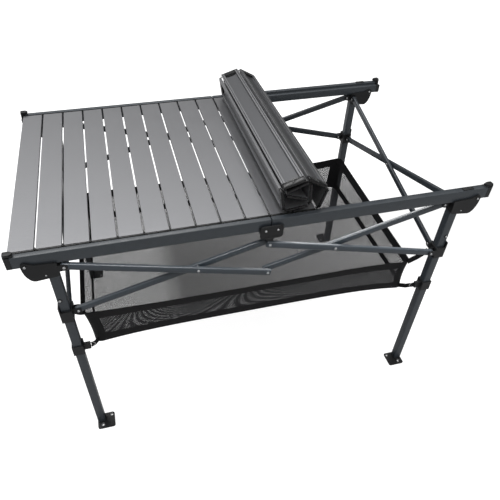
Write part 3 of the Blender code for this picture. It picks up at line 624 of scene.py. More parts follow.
class Shape:
    """A mesh under construction, in metres."""

    def __init__(self) -> None:
        """Starts an empty mesh."""
        self.mesh = bmesh.new()

    def _soften(self, edges: Iterable[bmesh.types.BMEdge], radius: float, steps: int) -> None:
        """Rounds some edges.

        Args:
            edges: the edges.
            radius: the rounding's radius, or 0 for none.
            steps: the rounding's segments.
        """
        if radius > 0.0:
            bmesh.ops.bevel(self.mesh, geom=list(edges), offset=radius, segments=steps, affect="EDGES",
                            profile=0.5)

    def prism(self, outline: Outline, along: str, low: float, high: float, rim: float = 0.0,
              steps: int = 2) -> "Shape":
        """Adds an outline pushed along an axis, with its two rims rounded.

        Args:
            outline: points in the other two axes, in X, Y, Z order.
            along: the axis, X, Y or Z.
            low: where it starts.
            high: where it ends.
            rim: the rounding's radius.
            steps: the rounding's segments.

        Returns:
            This shape.
        """
        first, second, third = {"X": (1, 2, 0), "Y": (0, 2, 1), "Z": (0, 1, 2)}[along]
        rings = []
        for level in sorted((low, high)):
            ring = []
            for u, v in outline:
                place = [0.0, 0.0, 0.0]
                place[first], place[second], place[third] = u, v, level
                ring.append(self.mesh.verts.new(place))
            rings.append(ring)
        faces = [self.mesh.faces.new(rings[0]), self.mesh.faces.new(list(reversed(rings[1])))]
        for i in range(len(outline)):
            j = (i + 1) % len(outline)
            faces.append(self.mesh.faces.new((rings[0][i], rings[1][i], rings[1][j], rings[0][j])))
        bmesh.ops.recalc_face_normals(self.mesh, faces=faces)
        self._soften([*faces[0].edges, *faces[1].edges], rim, steps)
        return self

    def box(self, low: Place, high: Place, rim: float = 0.0, steps: int = 2) -> "Shape":
        """Adds a block with all its edges rounded.

        Args:
            low: one corner.
            high: the corner across from it.
            rim: the rounding's radius.
            steps: the rounding's segments.

        Returns:
            This shape.
        """
        ends = [sorted(pair) for pair in zip(low, high)]
        made = bmesh.ops.create_cube(self.mesh, size=1.0)["verts"]
        for vert in made:
            vert.co = Vector(ends[i][0 if vert.co[i] < 0 else 1] for i in range(3))
        faces = {face for vert in made for face in vert.link_faces}
        self._soften({edge for face in faces for edge in face.edges}, rim, steps)
        return self

    def dome(self, centre: Place, axis: Vector, radius: float, height: float, skirt: float = 0.0005,
             sides: int = 16) -> "Shape":
        """Adds a rivet head: a low dome on a short skirt.

        Args:
            centre: the middle of its foot.
            axis: the way that it faces.
            radius: its radius.
            height: the dome's height above the skirt.
            skirt: the skirt's height.
            sides: how many sides the round has.

        Returns:
            This shape.
        """
        levels = [(radius, 0.0)] + [(radius * share, skirt + height * rise)
                                    for share, rise in ((1.0, 0.0), (0.93, 0.35), (0.72, 0.75), (0.38, 0.96))]
        return self.turned(centre, axis, levels, sides, skirt + height)

    def turned(self, centre: Place, axis: Vector, levels: Sequence[Pair], sides: int,
               tip: float | None = None) -> "Shape":
        """Adds a turned form.

        Args:
            centre: the middle of its foot.
            axis: the way that it stands.
            levels: radius and height pairs.
            sides: how many sides the round has.
            tip: the height of a closing tip, or none for a flat end.

        Returns:
            This shape.
        """
        spin = Vector((0.0, 0.0, 1.0)).rotation_difference(axis.normalized()).to_matrix()
        turns = [math.tau * i / sides for i in range(sides)]
        rings = []
        for radius, height in levels:
            rings.append([self.mesh.verts.new(Vector(centre) + spin @ Vector(
                (radius * math.cos(turn), radius * math.sin(turn), height))) for turn in turns])
        self.mesh.faces.new(list(reversed(rings[0])))
        for low, high in zip(rings, rings[1:]):
            for i in range(sides):
                j = (i + 1) % sides
                self.mesh.faces.new((low[i], low[j], high[j], high[i]))
        if tip is None:
            self.mesh.faces.new(rings[-1])
        else:
            top = self.mesh.verts.new(Vector(centre) + spin @ Vector((0.0, 0.0, tip)))
            for i in range(sides):
                self.mesh.faces.new((rings[-1][i], rings[-1][(i + 1) % sides], top))
        return self

    def ring(self, centre: Place, axis: Vector, radius: float, wire: float) -> "Shape":
        """Adds a closed wire ring.

        Args:
            centre: its middle.
            axis: the axis that it goes round.
            radius: from its middle to the wire's middle.
            wire: the wire's radius.

        Returns:
            This shape.
        """
        spin = Vector((0.0, 0.0, 1.0)).rotation_difference(axis.normalized()).to_matrix()
        around, sides = 20, 8
        rows = []
        for i in range(around):
            turn = math.tau * i / around
            row = []
            for j in range(sides):
                lean = math.tau * j / sides
                reach = radius + wire * math.cos(lean)
                place = Vector((reach * math.cos(turn), reach * math.sin(turn), wire * math.sin(lean)))
                row.append(self.mesh.verts.new(Vector(centre) + spin @ place))
            rows.append(row)
        for i in range(around):
            after = rows[(i + 1) % around]
            for j in range(sides):
                k = (j + 1) % sides
                self.mesh.faces.new((rows[i][j], after[j], after[k], rows[i][k]))
        return self

    def moved(self, matrix: Matrix) -> "Shape":
        """Moves everything so far."""
        bmesh.ops.transform(self.mesh, matrix=matrix, verts=self.mesh.verts)
        return self

    def sheet(self, lines: Sequence[Sequence[Place]], uvs: Sequence[Sequence[Pair]],
              turned: bool = False) -> "Shape":
        """Adds a sheet of faces between lines of points.

        Args:
            lines: the points, as many in each line.
            uvs: the UV coordinates of each point.
            turned: whether the faces look the other way.

        Returns:
            The shape itself.
        """
        layer = self.mesh.loops.layers.uv.verify()
        verts = [[self.mesh.verts.new(point) for point in line] for line in lines]
        for i in range(len(verts) - 1):
            for j in range(len(verts[0]) - 1):
                ahead, beside = (i + 1, j), (i, j + 1)
                if turned:
                    ahead, beside = beside, ahead
                around = ((i, j), ahead, (i + 1, j + 1), beside)
                face = self.mesh.faces.new([verts[m][n] for m, n in around])
                for loop, (m, n) in zip(face.loops, around):
                    loop[layer].uv = uvs[m][n]
        return self

    def piece(self, name: str, body: str, finish: Finish, node: str | None = None,
              smooth_deg: float = 35.0) -> bpy.types.Object:
        """Finishes the mesh as a piece that rides on a body.

        Args:
            name: the piece's name.
            body: the CAD body that it moves with.
            finish: its material and slot.
            node: the CAD node that it stands for, if any.
            smooth_deg: edges flatter than this shade smooth.

        Returns:
            The object.
        """
        bmesh.ops.recalc_face_normals(self.mesh, faces=self.mesh.faces)
        data = bpy.data.meshes.new(name)
        self.mesh.to_mesh(data)
        self.mesh.free()
        data.materials.append(finish.material)
        data.shade_smooth()
        data.set_sharp_from_angle(angle=math.radians(smooth_deg))
        thing = bpy.data.objects.new(name, data)
        bpy.context.scene.collection.objects.link(thing)
        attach(thing, body)
        if node is not None:
            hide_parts(node)
        return thing


def arc(centre: Pair, radius: float, first: float, last: float, steps: int) -> list[Pair]:
    """Points on a circular arc.

    Args:
        centre: its centre.
        radius: its radius.
        first: the angle of its first point, in degrees.
        last: the angle of its last point, in degrees.
        steps: how many steps lie between them.

    Returns:
        The points.
    """
    turns = [math.radians(first + (last - first) * i / steps) for i in range(steps + 1)]
    return [(centre[0] + radius * math.cos(t), centre[1] + radius * math.sin(t)) for t in turns]


def rounded(outline: Outline, radius: float, steps: int = 3) -> list[Pair]:
    """An outline with each corner rounded by a quadratic curve.

    Args:
        outline: the sharp outline.
        radius: how far along its sides each rounding starts.
        steps: how many steps a rounding has.

    Returns:
        The rounded outline.
    """
    points = []
    for i, corner in enumerate(outline):
        here = Vector(corner)
        before = Vector(outline[i - 1]) - here
        after = Vector(outline[(i + 1) % len(outline)]) - here
        reach = min(radius, before.length * 0.45, after.length * 0.45)
        start, end = here + before.normalized() * reach, here + after.normalized() * reach
        for k in range(steps + 1):
            t = k / steps
            points.append(tuple(start * (1 - t) ** 2 + here * 2 * t * (1 - t) + end * t ** 2))
    return points


def rectangle(low: Pair, high: Pair) -> list[Pair]:
    """The outline of a rectangle between two corners."""
    return [low, (high[0], low[1]), high, (low[0], high[1])]


# The frame


@dataclass
class Scissor:
    """The scissor bars of all four sides and the rivets that they turn on."""

    finishes: Finishes
    pivot_x: float = 0.483
    crossing_x: float = 0.181
    arm_spread: float = 0.302
    high_z: float = 0.672
    low_z: float = 0.511
    bar_height: float = 0.018
    long_thickness: float = 0.010
    short_thickness: float = 0.0095
    long_planes: Pair = (0.336, 0.3215)
    short_planes: Pair = (0.51425, 0.50325)
    fork: float = 0.0030
    long_gap: float = 0.0048
    short_gap: float = 0.0018
    head: Pair = (0.0037, 0.0016)
    tail: Pair = (0.00333, 0.0012)
    spacer_start: float = 0.0002
    spacer: tuple[Pair, ...] = ((0.0052, 0.0), (0.0058, 0.0004), (0.0058, 0.0036), (0.0052, 0.0040))
    edge_radius: float = 0.0028
    end_corner: float = 0.0030

    def __post_init__(self) -> None:
        """Works out the slope and the arm lengths."""
        self.slope = math.atan2((self.high_z - self.low_z) / 2, self.arm_spread)
        self.leg_arm = self.arm_spread / math.cos(self.slope)
        self.length = self.leg_arm + self.crossing_x / math.cos(self.slope)

    def _bar(self, length: float, thickness: float, along: str, square: bool = False) -> Shape:
        """A tube bar with its origin on its first pivot, round-ended there.

        Args:
            length: from the first pivot to the last.
            thickness: across the flat of the bar.
            along: the axis that the bar is thin along.
            square: whether the far end is cut square instead of round.

        Returns:
            The bar's shape.
        """
        half = self.bar_height / 2
        last = arc((length, 0.0), half, -90, 90, 8)
        if square:
            corner, reach = self.end_corner, half - self.end_corner
            last = (arc((length + reach, -reach), corner, -90, 0, 4)
                    + arc((length + reach, reach), corner, 0, 90, 4))
        outline = last + arc((0.0, 0.0), half, 90, 270, 8)
        return Shape().prism(outline, along, -thickness / 2, thickness / 2, self.edge_radius, 4)

    def _heads(self, shape: Shape, centre: Vector, out: Vector, outward: float, inward: float) -> None:
        """Adds a domed head on each end of one rivet.

        Args:
            shape: where the heads are added.
            centre: the pivot, on the bar's middle plane.
            out: the way out from the table.
            outward: from the centre to the outer head.
            inward: from the centre to the inner head.
        """
        shape.dome(centre + out * outward, out, *self.head)
        shape.dome(centre - out * inward, -out, *self.tail)

    def _place(self, node: str, bar: Shape, heads: Shape, matrix: Matrix) -> None:
        """Moves a bar and its rivet heads to their place and finishes them.

        Args:
            node: the CAD node that the bar stands for.
            bar: the bar's shape.
            heads: the rivet heads' shape.
            matrix: from the bar's own place to the table's.
        """
        body = f"{node}_body"
        bar.moved(matrix).piece(f"scissor_{node}", body, self.finishes.paint, node)
        heads.moved(matrix).piece(f"rivets_{node}", body, self.finishes.rivet)

    def long_bar(self, corner: Corner, high: bool) -> None:
        """Builds one bar of a long side with its rivet heads.

        Args:
            corner: the corner that its first pivot is at.
            high: whether that pivot is the high one.
        """
        left = corner.end is Side.LEFT
        outer = left == high
        tilt = self.slope if high else -self.slope
        z = self.high_z if high else self.low_z
        place = corner.place(self.pivot_x, self.long_planes[0 if outer else 1], z)
        turn = Matrix.Rotation(tilt if left else math.pi - tilt, 4, "Y")
        half = self.long_thickness / 2
        heads = Shape()
        out = corner.out
        self._heads(heads, Vector(), out, half + self.fork, half + self.fork)
        if outer:
            for reach in (self.leg_arm, self.length):
                pivot = Vector((reach, 0.0, 0.0))
                self._heads(heads, pivot, out, half, self.long_thickness * 1.5 + self.long_gap)
                heads.turned(pivot - out * (half + self.spacer_start), -out, self.spacer, 16)
        self._place(f"long_bar_{corner.word}_{'high' if high else 'low'}",
                    self._bar(self.length, self.long_thickness, "Y", True), heads,
                    Matrix.Translation(place) @ turn)

    def short_bar(self, corner: Corner) -> None:
        """Builds one bar of a short side with its rivet heads.

        Args:
            corner: the corner that its high end is at.
        """
        outer = corner.side is Side.NEAR
        place = corner.place(self.short_planes[0 if outer else 1], self.arm_spread, self.high_z)
        turn = Matrix.Rotation(-self.slope if outer else math.pi + self.slope, 4, "X")
        half = self.short_thickness / 2
        heads = Shape()
        out = Vector((corner.end.sign, 0.0, 0.0))
        for reach in (0.0, 2 * self.leg_arm):
            self._heads(heads, Vector((0.0, reach, 0.0)), out, half + self.fork, half + self.fork)
        if outer:
            self._heads(heads, Vector((0.0, self.leg_arm, 0.0)), out, half,
                        self.short_thickness * 1.5 + self.short_gap)
        self._place(f"short_bar_{corner.end.word}_{corner.side.word}_high",
                    self._bar(2 * self.leg_arm, self.short_thickness, "X"), heads,
                    Matrix.Translation(place) @ turn)

    def build(self) -> None:
        """Builds every scissor bar."""
        for corner in CORNERS:
            self.long_bar(corner, True)
            self.long_bar(corner, False)
        for end in ENDS:
            for side in LONG_SIDES:
                self.short_bar(Corner(side, end))
        LOG.info("scissor bars built")


@dataclass
class Legs:
    """The four square legs with their snap buttons."""

    finishes: Finishes
    x: float = 0.5105
    y: float = 0.3265
    width: float = 0.023
    corner: float = 0.0024
    rim: float = 0.0004
    bottom: float = 0.0043
    top: float = 0.6805
    button_x: float = 0.5155
    button_z: float = 0.565
    ring_depth: float = 0.0005
    ring: tuple[Pair, ...] = ((0.0058, 0.0), (0.0058, 0.0011), (0.0052, 0.0016), (0.0041, 0.0016),
                              (0.0040, 0.0006))
    pin_depth: float = 0.001
    pin: Point = (0.0034, 0.0018, 0.0024)

    def build(self) -> None:
        """Builds the tubes and their buttons."""
        half = self.width / 2
        square = rounded(rectangle((-half, -half), (half, half)), self.corner, 4)
        for corner in CORNERS:
            outline = [(u + corner.end.sign * self.x, v + corner.side.sign * self.y) for u, v in square]
            tube = Shape().prism(outline, "Z", self.bottom, self.top, self.rim, 1)
            tube.piece(f"leg_tube_{corner.word}", corner.body("leg"), self.finishes.paint,
                       f"leg_{corner.word}", TUBE_SMOOTH_DEG)
            self._button(corner)
        LOG.info("legs built")

    def _button(self, corner: Corner) -> None:
        """Builds a bright spring button in a dark ring on the leg's outer face.

        Args:
            corner: the leg's corner.
        """
        face = self.y + self.width / 2
        foot = corner.place(self.button_x, face - self.ring_depth, self.button_z)
        ring = Shape().turned(foot, corner.out, self.ring, 24)
        ring.piece(f"button_ring_{corner.word}", corner.body("leg"), self.finishes.link)
        foot = corner.place(self.button_x, face - self.pin_depth, self.button_z)
        pin = Shape().dome(foot, corner.out, *self.pin, 20)
        pin.piece(f"button_pin_{corner.word}", corner.body("snap_button"), self.finishes.rivet,
                  f"snap_button_{corner.word}")


@dataclass
class Rails:
    """The folding side rails and the raised pads of their right halves."""

    finishes: Finishes
    outer: float = 0.3388
    upper_inner: float = 0.3253
    inner: float = 0.3120
    top: float = 0.7175
    ledge: float = 0.7097
    bottom: float = 0.6855
    corner: float = 0.0016
    rim: float = 0.0003
    seam: float = 0.0012
    end_x: float = 0.5877
    pad_x: Pair = (0.516, 0.546)
    pad_margin: float = 0.0015
    pad_z: Pair = (0.7165, 0.7201)
    pad_edge: float = 0.0009

    def build(self) -> None:
        """Builds the four rail halves."""
        points = ((self.outer, self.bottom), (self.outer, self.top), (self.upper_inner, self.top),
                  (self.upper_inner, self.ledge), (self.inner, self.ledge), (self.inner, self.bottom))
        for corner in CORNERS:
            outline = rounded([(u * corner.side.sign, v) for u, v in points], self.corner)
            ends = (corner.end.sign * x for x in (self.seam, self.end_x))
            tube = Shape().prism(outline, "X", *ends, self.rim, 1)
            tube.piece(f"side_rail_{corner.word}", corner.body("rail"), self.finishes.paint,
                       f"rail_{corner.word}", TUBE_SMOOTH_DEG)
            if corner.end is Side.RIGHT:
                low = corner.place(self.pad_x[0], self.upper_inner + self.pad_margin, self.pad_z[0])
                high = corner.place(self.pad_x[1], self.outer - self.pad_margin, self.pad_z[1])
                pad = Shape().box(low, high, self.pad_edge)
                pad.piece(f"rail_pad_{corner.word}", corner.body("rail"), self.finishes.plastic)
        LOG.info("rails built")


@dataclass
class Mouldings:
    """The plastic fittings that keep their CAD shape, with softened edges, covers, lips and rivet heads."""

    finishes: Finishes
    kinds: tuple[str, ...] = ("top_bracket", "slider", "lower_collar", "end_cap", "foot")
    edge: float = 0.0005
    edge_angle: float = 40.0
    weld: float = 0.00002
    cover_half: float = 0.0295
    cover_z: Pair = (0.6655, 0.7045)
    cover_back: float = 0.3421
    cover_face: float = 0.3470
    cover_corner: float = 0.012
    cover_edge: float = 0.0022
    ridge_half: float = 0.0205
    ridge_z: Pair = (0.6685, 0.6720)
    ridge_face: Pair = (0.3460, 0.3478)
    ridge_edges: Pair = (0.0016, 0.0006)
    lip_y: Pair = (0.3249, 0.3392)
    lip_x: Pair = (0.5790, 0.6000)
    lip_cut: Pair = (0.0075, 0.004)
    lip_z: Pair = (0.7235, 0.7272)
    lip_edges: Pair = (0.0035, 0.0011)
    pivot_z: float = 0.691
    rail_pivot: float = 0.562
    rail_heads: tuple[Point, ...] = ((0.3448, 0.0034, 0.0018), (0.3080, 0.0034, 0.0016))
    fold_pivot: float = 0.0152
    fold_heads: tuple[Point, ...] = ((0.3466, 0.0032, 0.0018), (0.3080, 0.0032, 0.0014))
    screw: Point = (0.5245, 0.3440, 0.658)
    screw_head: Point = (0.0022, 0.0008, 0.0003)
    peg_holes: tuple[Pair, ...] = ((0.16, 0.18), (0.70, 0.77))
    eyelet_z: float = 0.0040
    eyelet: Pair = (0.0040, 0.0008)

    def soften(self, node: bpy.types.Object) -> None:
        """Rounds a CAD node's edges by modifiers and gives it the plastic finish.

        Args:
            node: the CAD node's object.
        """
        node.data.materials.clear()
        node.data.materials.append(self.finishes.plastic.material)
        node.modifiers.new("join_seams", "WELD").merge_threshold = self.weld
        bevel = node.modifiers.new("moulded_edges", "BEVEL")
        bevel.width = self.edge
        bevel.segments = 2
        bevel.limit_method = "ANGLE"
        bevel.angle_limit = math.radians(self.edge_angle)
        node.data.shade_smooth()
        node.modifiers.new("even_shading", "WEIGHTED_NORMAL").keep_sharp = False

    def build(self) -> None:
        """Dresses every fitting."""
        for side in LONG_SIDES:
            for corner in (Corner(side, end) for end in ENDS):
                for kind in self.kinds:
                    self.soften(frame["nodes"][f"{kind}_{corner.word}"])
                self._bracket_heads(corner)
                self._foot_eyelets(corner)
                self._cap_lip(corner)
            self.soften(frame["nodes"][f"centre_bracket_{side.word}"])
            self._centre_cover(side)
            self._centre_heads(side)
        LOG.info("mouldings dressed")

    def _centre_cover(self, side: Side) -> None:
        """Builds the cushion-shaped face of a centre bracket, with a low ridge.

        Args:
            side: the bracket's side.
        """
        faces = [side.sign * level for level in (self.cover_back, self.cover_face, *self.ridge_face)]
        outline = rectangle((-self.cover_half, self.cover_z[0]), (self.cover_half, self.cover_z[1]))
        cover = Shape().prism(rounded(outline, self.cover_corner, 5), "Y", *faces[:2], self.cover_edge, 4)
        ridge = rectangle((-self.ridge_half, self.ridge_z[0]), (self.ridge_half, self.ridge_z[1]))
        cover.prism(rounded(ridge, self.ridge_edges[0]), "Y", *faces[2:], self.ridge_edges[1])
        cover.piece(f"centre_cover_{side.word}", f"centre_bracket_{side.word}_body", self.finishes.plastic)

    def _cap_lip(self, corner: Corner) -> None:
        """Builds the rounded finger lip on top of a rail's end cap.

        Args:
            corner: the end cap's corner.
        """
        tip, x = self.lip_x
        inner, outer = self.lip_y
        along, across = self.lip_cut
        points = ((x, inner), (x, outer), (tip + along, outer), (tip, outer - across), (tip, inner + across),
                  (tip + along, inner))
        outline = [(corner.end.sign * u, corner.side.sign * v) for u, v in points]
        lip = Shape().prism(rounded(outline, self.lip_edges[0], 4), "Z", *self.lip_z, self.lip_edges[1], 3)
        lip.piece(f"cap_lip_{corner.word}", corner.body("rail"), self.finishes.plastic)

    def _bracket_heads(self, corner: Corner) -> None:
        """Builds the rail rivet's heads and a small screw on a top bracket.

        Args:
            corner: the bracket's corner.
        """
        heads = Shape()
        for way, (face, radius, height) in zip((corner.out, -corner.out), self.rail_heads):
            heads.dome(corner.place(self.rail_pivot, face, self.pivot_z), way, radius, height)
        heads.dome(corner.place(*self.screw), corner.out, *self.screw_head, 12)
        heads.piece(f"bracket_rivets_{corner.word}", corner.body("leg"), self.finishes.rivet)

    def _foot_eyelets(self, corner: Corner) -> None:
        """Builds a shallow ring round each peg hole of a foot plate.

        Args:
            corner: the foot's corner.
        """
        low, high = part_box(f"foot_{corner.word}")
        x = (low.x, high.x)[:: corner.end.sign]
        y = (low.y, high.y)[:: corner.side.sign]
        eyelets = Shape()
        for along, across in self.peg_holes:
            place = (x[0] + along * (x[1] - x[0]), y[0] + across * (y[1] - y[0]), self.eyelet_z)
            eyelets.ring(place, Vector((0.0, 0.0, 1.0)), *self.eyelet)
        eyelets.piece(f"foot_eyelets_{corner.word}", corner.body("leg"), self.finishes.rivet)

    def _centre_heads(self, side: Side) -> None:
        """Builds the two fold rivets of a centre bracket.

        Args:
            side: the bracket's side.
        """
        out = Vector((0.0, side.sign, 0.0))
        heads = Shape()
        for x in (-self.fold_pivot, self.fold_pivot):
            for way, (face, radius, height) in zip((out, -out), self.fold_heads):
                heads.dome((x, side.sign * face, self.pivot_z), way, radius, height)
        heads.piece(f"centre_rivets_{side.word}", f"centre_bracket_{side.word}_body", self.finishes.rivet)


# The deck


@dataclass(frozen=True)
class PlugBlock:
    """One block of an end plug, by its distances from the slat's edges, end and underside."""

    inset: float
    depths: Pair
    heights: Pair
    rim: float
    steps: int = 1


@dataclass
class Deck:
    """The flat slats, the roll and the black end plugs with their links."""

    finishes: Finishes
    pitch: float = 0.0595
    gap: float = 0.0045
    thickness: float = 0.0075
    skin: float = 0.0015
    band: float = 0.0095
    band_foot: Pair = (0.0004, 0.0012)
    groove: Point = (0.0034, 0.0050, 0.0032)
    groove_slope: float = 0.0002
    soft: float = 0.0006
    top_depth: float = 0.0007
    length: float = 0.6456
    top: float = 0.7175
    middle_slat: int = 11
    rolled_from: int = 13
    bare: float = 0.0045
    blocks: tuple[PlugBlock, ...] = (PlugBlock(0.0108, (0.019, 0.0045), (0.0008, 0.0060), 0.0006),
                                     PlugBlock(0.0005, (0.0045, 0.0), (0.0003, 0.0071), 0.0009, 2),
                                     PlugBlock(0.017, (0.024, 0.018), (0.0030, 0.0060), 0.0004))
    nub_x: tuple[Pair, ...] = ((0.006, 0.024), (0.031, 0.049))
    nub_depths: Pair = (0.001, -0.0011)
    nub_heights: Pair = (0.0016, 0.0059)
    nub_rim: float = 0.0010
    cover: float = 0.016
    cover_margins: tuple[Pair, Pair] = ((0.0004, 0.0003), (0.0001, 0.0001))
    cover_seam: float = 0.0006
    cover_rim: float = 0.0016
    link_ends: Pair = (0.0085, 0.0003)
    link_rim: float = 0.0003
    flat_eye: Pair = (-0.0004, 0.0017)
    flat_neck: Pair = (-0.0030, -0.0012)
    rolled_eye: Pair = (-0.0002, 0.0016)
    rolled_neck: Pair = (-0.0018, -0.0002)
    flat_overlap: float = 0.0004
    rolled_overlaps: Pair = (0.0004, 0.0006)
    turns: tuple[float, ...] = (71.8, 79.6, 45.4, 82.0, 89.1, 85.9, 108.5, 138.8)
    panels: tuple[tuple[str, int, int], ...] = (("slats_01_to_03", 1, 3), ("slats_04_to_06", 4, 3),
                                                ("slats_07_to_09", 7, 3), ("slats_10_to_11", 10, 2),
                                                ("slat_12", 12, 1))

    def __post_init__(self) -> None:
        """Works out half the length."""
        self.half = self.length / 2

    def span(self, offset: float) -> Pair:
        """The two edges of the slat that starts at an offset."""
        left = offset + self.gap / 2
        return left, left + self.pitch - self.gap

    def profile(self, offset: float) -> list[Pair]:
        """A slat's section: flat top, shallow middle and two grooved edge bands.

        Args:
            offset: where the slat starts.

        Returns:
            The section's outline.
        """
        left, right = self.span(offset)
        near, far, deep = self.groove
        low, soft, slope = -self.thickness, self.soft, self.groove_slope
        down = [(left, -soft), (left, low + soft), (left + soft, low), (left + near, low),
                (left + near + slope, low + deep), (left + far - slope, low + deep), (left + far, low),
                (left + self.band - soft, low), (left + self.band, low + soft),
                (left + self.band + self.band_foot[0], -self.skin - soft),
                (left + self.band + self.band_foot[1], -self.skin)]
        back = [(left + right - u, v) for u, v in reversed(down)]
        return [(left + soft, 0.0), *down, *back, (right - soft, 0.0)]

    def slat(self, shape: Shape, offset: float) -> None:
        """Adds one slat's extrusion, with bands that stop short of the near plug's cover.

        Args:
            shape: where it is added.
            offset: where the slat starts.
        """
        left, right = self.span(offset)
        soft = self.soft
        shape.prism(self.profile(offset), "Y", -self.half + self.cover, self.half - self.bare)
        skin = [(left + soft, 0.0), (left, -soft), (left, -self.skin), (right, -self.skin), (right, -soft),
                (right - soft, 0.0)]
        shape.prism(skin, "Y", -self.half + self.bare, -self.half + self.cover)
        for face in shape.mesh.faces:
            face.material_index = 0 if min(vert.co.z for vert in face.verts) > -self.top_depth else 1

    def plugs(self, shape: Shape, offset: float) -> None:
        """Adds one slat's end plugs: a block in the hollow, a full-width end, a ridge, nubs and near covers.

        Args:
            shape: where they are added.
            offset: where the slat starts.
        """
        left, right = self.span(offset)
        half, floor = self.half, -self.thickness
        for sign in BOTH_WAYS:
            for block in self.blocks:
                near, far = (sign * (half - depth) for depth in block.depths)
                low, high = (floor + height for height in block.heights)
                shape.box((left + block.inset, near, low), (right - block.inset, far, high), block.rim,
                          block.steps)
            near, far = (sign * (half - depth) for depth in self.nub_depths)
            low, high = (floor + height for height in self.nub_heights)
            for start, stop in self.nub_x:
                shape.box((left + start, near, low), (left + stop, far, high), self.nub_rim, 3)
        middle = (left + right) / 2
        (outside, inside), (under, over) = self.cover_margins
        seam = self.cover_seam
        for low, high in ((left + outside, middle - seam), (middle + seam, right - outside)):
            shape.box((low, -half + outside, floor + under),
                      (high, -half + self.cover - inside, -self.skin - over), self.cover_rim, 3)

    def link(self, shape: Shape, offset: float, eye: Pair, neck: tuple[Pair, Pair]) -> None:
        """Adds the hinge link at a slat's head edge, at both ends: an eye and its neck.

        Args:
            shape: where it is added.
            offset: where the slat starts.
            eye: the eye's height and radius.
            neck: the neck's reach along X from the offset and its heights.
        """
        (first, last), (under, over) = neck
        for sign in BOTH_WAYS:
            low, high = sorted(sign * (self.half - inset) for inset in self.link_ends)
            shape.prism(arc((offset, eye[0]), eye[1], 0, 330, 11), "Y", low, high, self.link_rim, 1)
            shape.box((offset + first, low, under), (offset + last, high, over), self.link_rim, 1)

    def _finish(self, metal: Shape, black: Shape, names: tuple[str, str], node: str, body: str,
                matrix: Matrix) -> None:
        """Moves slats and plugs to their place and finishes them.

        Args:
            metal: the slats' shape.
            black: the plugs' shape.
            names: the slat piece's name and the plug piece's name.
            node: the CAD node that the slats stand for.
            body: the CAD body that both move with.
            matrix: from the slats' own place to the table's.
        """
        piece = metal.moved(matrix).piece(names[0], body, self.finishes.slat, node)
        piece.data.materials.append(self.finishes.underside.material)
        black.moved(matrix).piece(names[1], body, self.finishes.link)

    def flat(self, name: str, first: int, count: int) -> None:
        """Builds one panel of flat slats.

        Args:
            name: the CAD node's name.
            first: its first slat's number.
            count: how many slats it has.
        """
        reach = self.gap / 2 + self.flat_overlap
        metal, black = Shape(), Shape()
        for i in range(count):
            self.slat(metal, i * self.pitch)
            self.plugs(black, i * self.pitch)
            if first + i > 1:
                self.link(black, i * self.pitch, self.flat_eye, ((-reach, reach), self.flat_neck))
        matrix = Matrix.Translation(((first - self.middle_slat) * self.pitch, 0.0, self.top))
        self._finish(metal, black, (f"deck_{name}", f"plugs_{name}"), name, "deck_body", matrix)

    def roll(self) -> None:
        """Builds the rolled slats, each turned about the hinge line before it."""
        first, last = self.rolled_overlaps
        neck = ((first, self.gap / 2 + last), self.rolled_neck)
        edge = Vector(((self.rolled_from - self.middle_slat) * self.pitch, 0.0, self.top))
        total = 0.0
        for number, turn in enumerate(self.turns, start=self.rolled_from):
            total += math.radians(turn)
            spin = Matrix.Rotation(-total, 4, "Y")
            metal, black = Shape(), Shape()
            self.slat(metal, 0.0)
            self.plugs(black, 0.0)
            self.link(black, 0.0, self.rolled_eye, neck)
            self._finish(metal, black, (f"rolled_slat_{number}", f"rolled_plugs_{number}"), f"slat_{number}",
                         f"slat_{number}_body", Matrix.Translation(edge) @ spin)
            edge = edge + spin.to_3x3() @ Vector((self.pitch, 0.0, 0.0))

    def build(self) -> None:
        """Builds the whole deck."""
        for name, first, count in self.panels:
            self.flat(name, first, count)
        self.roll()
        LOG.info("deck and roll built")


# The basket


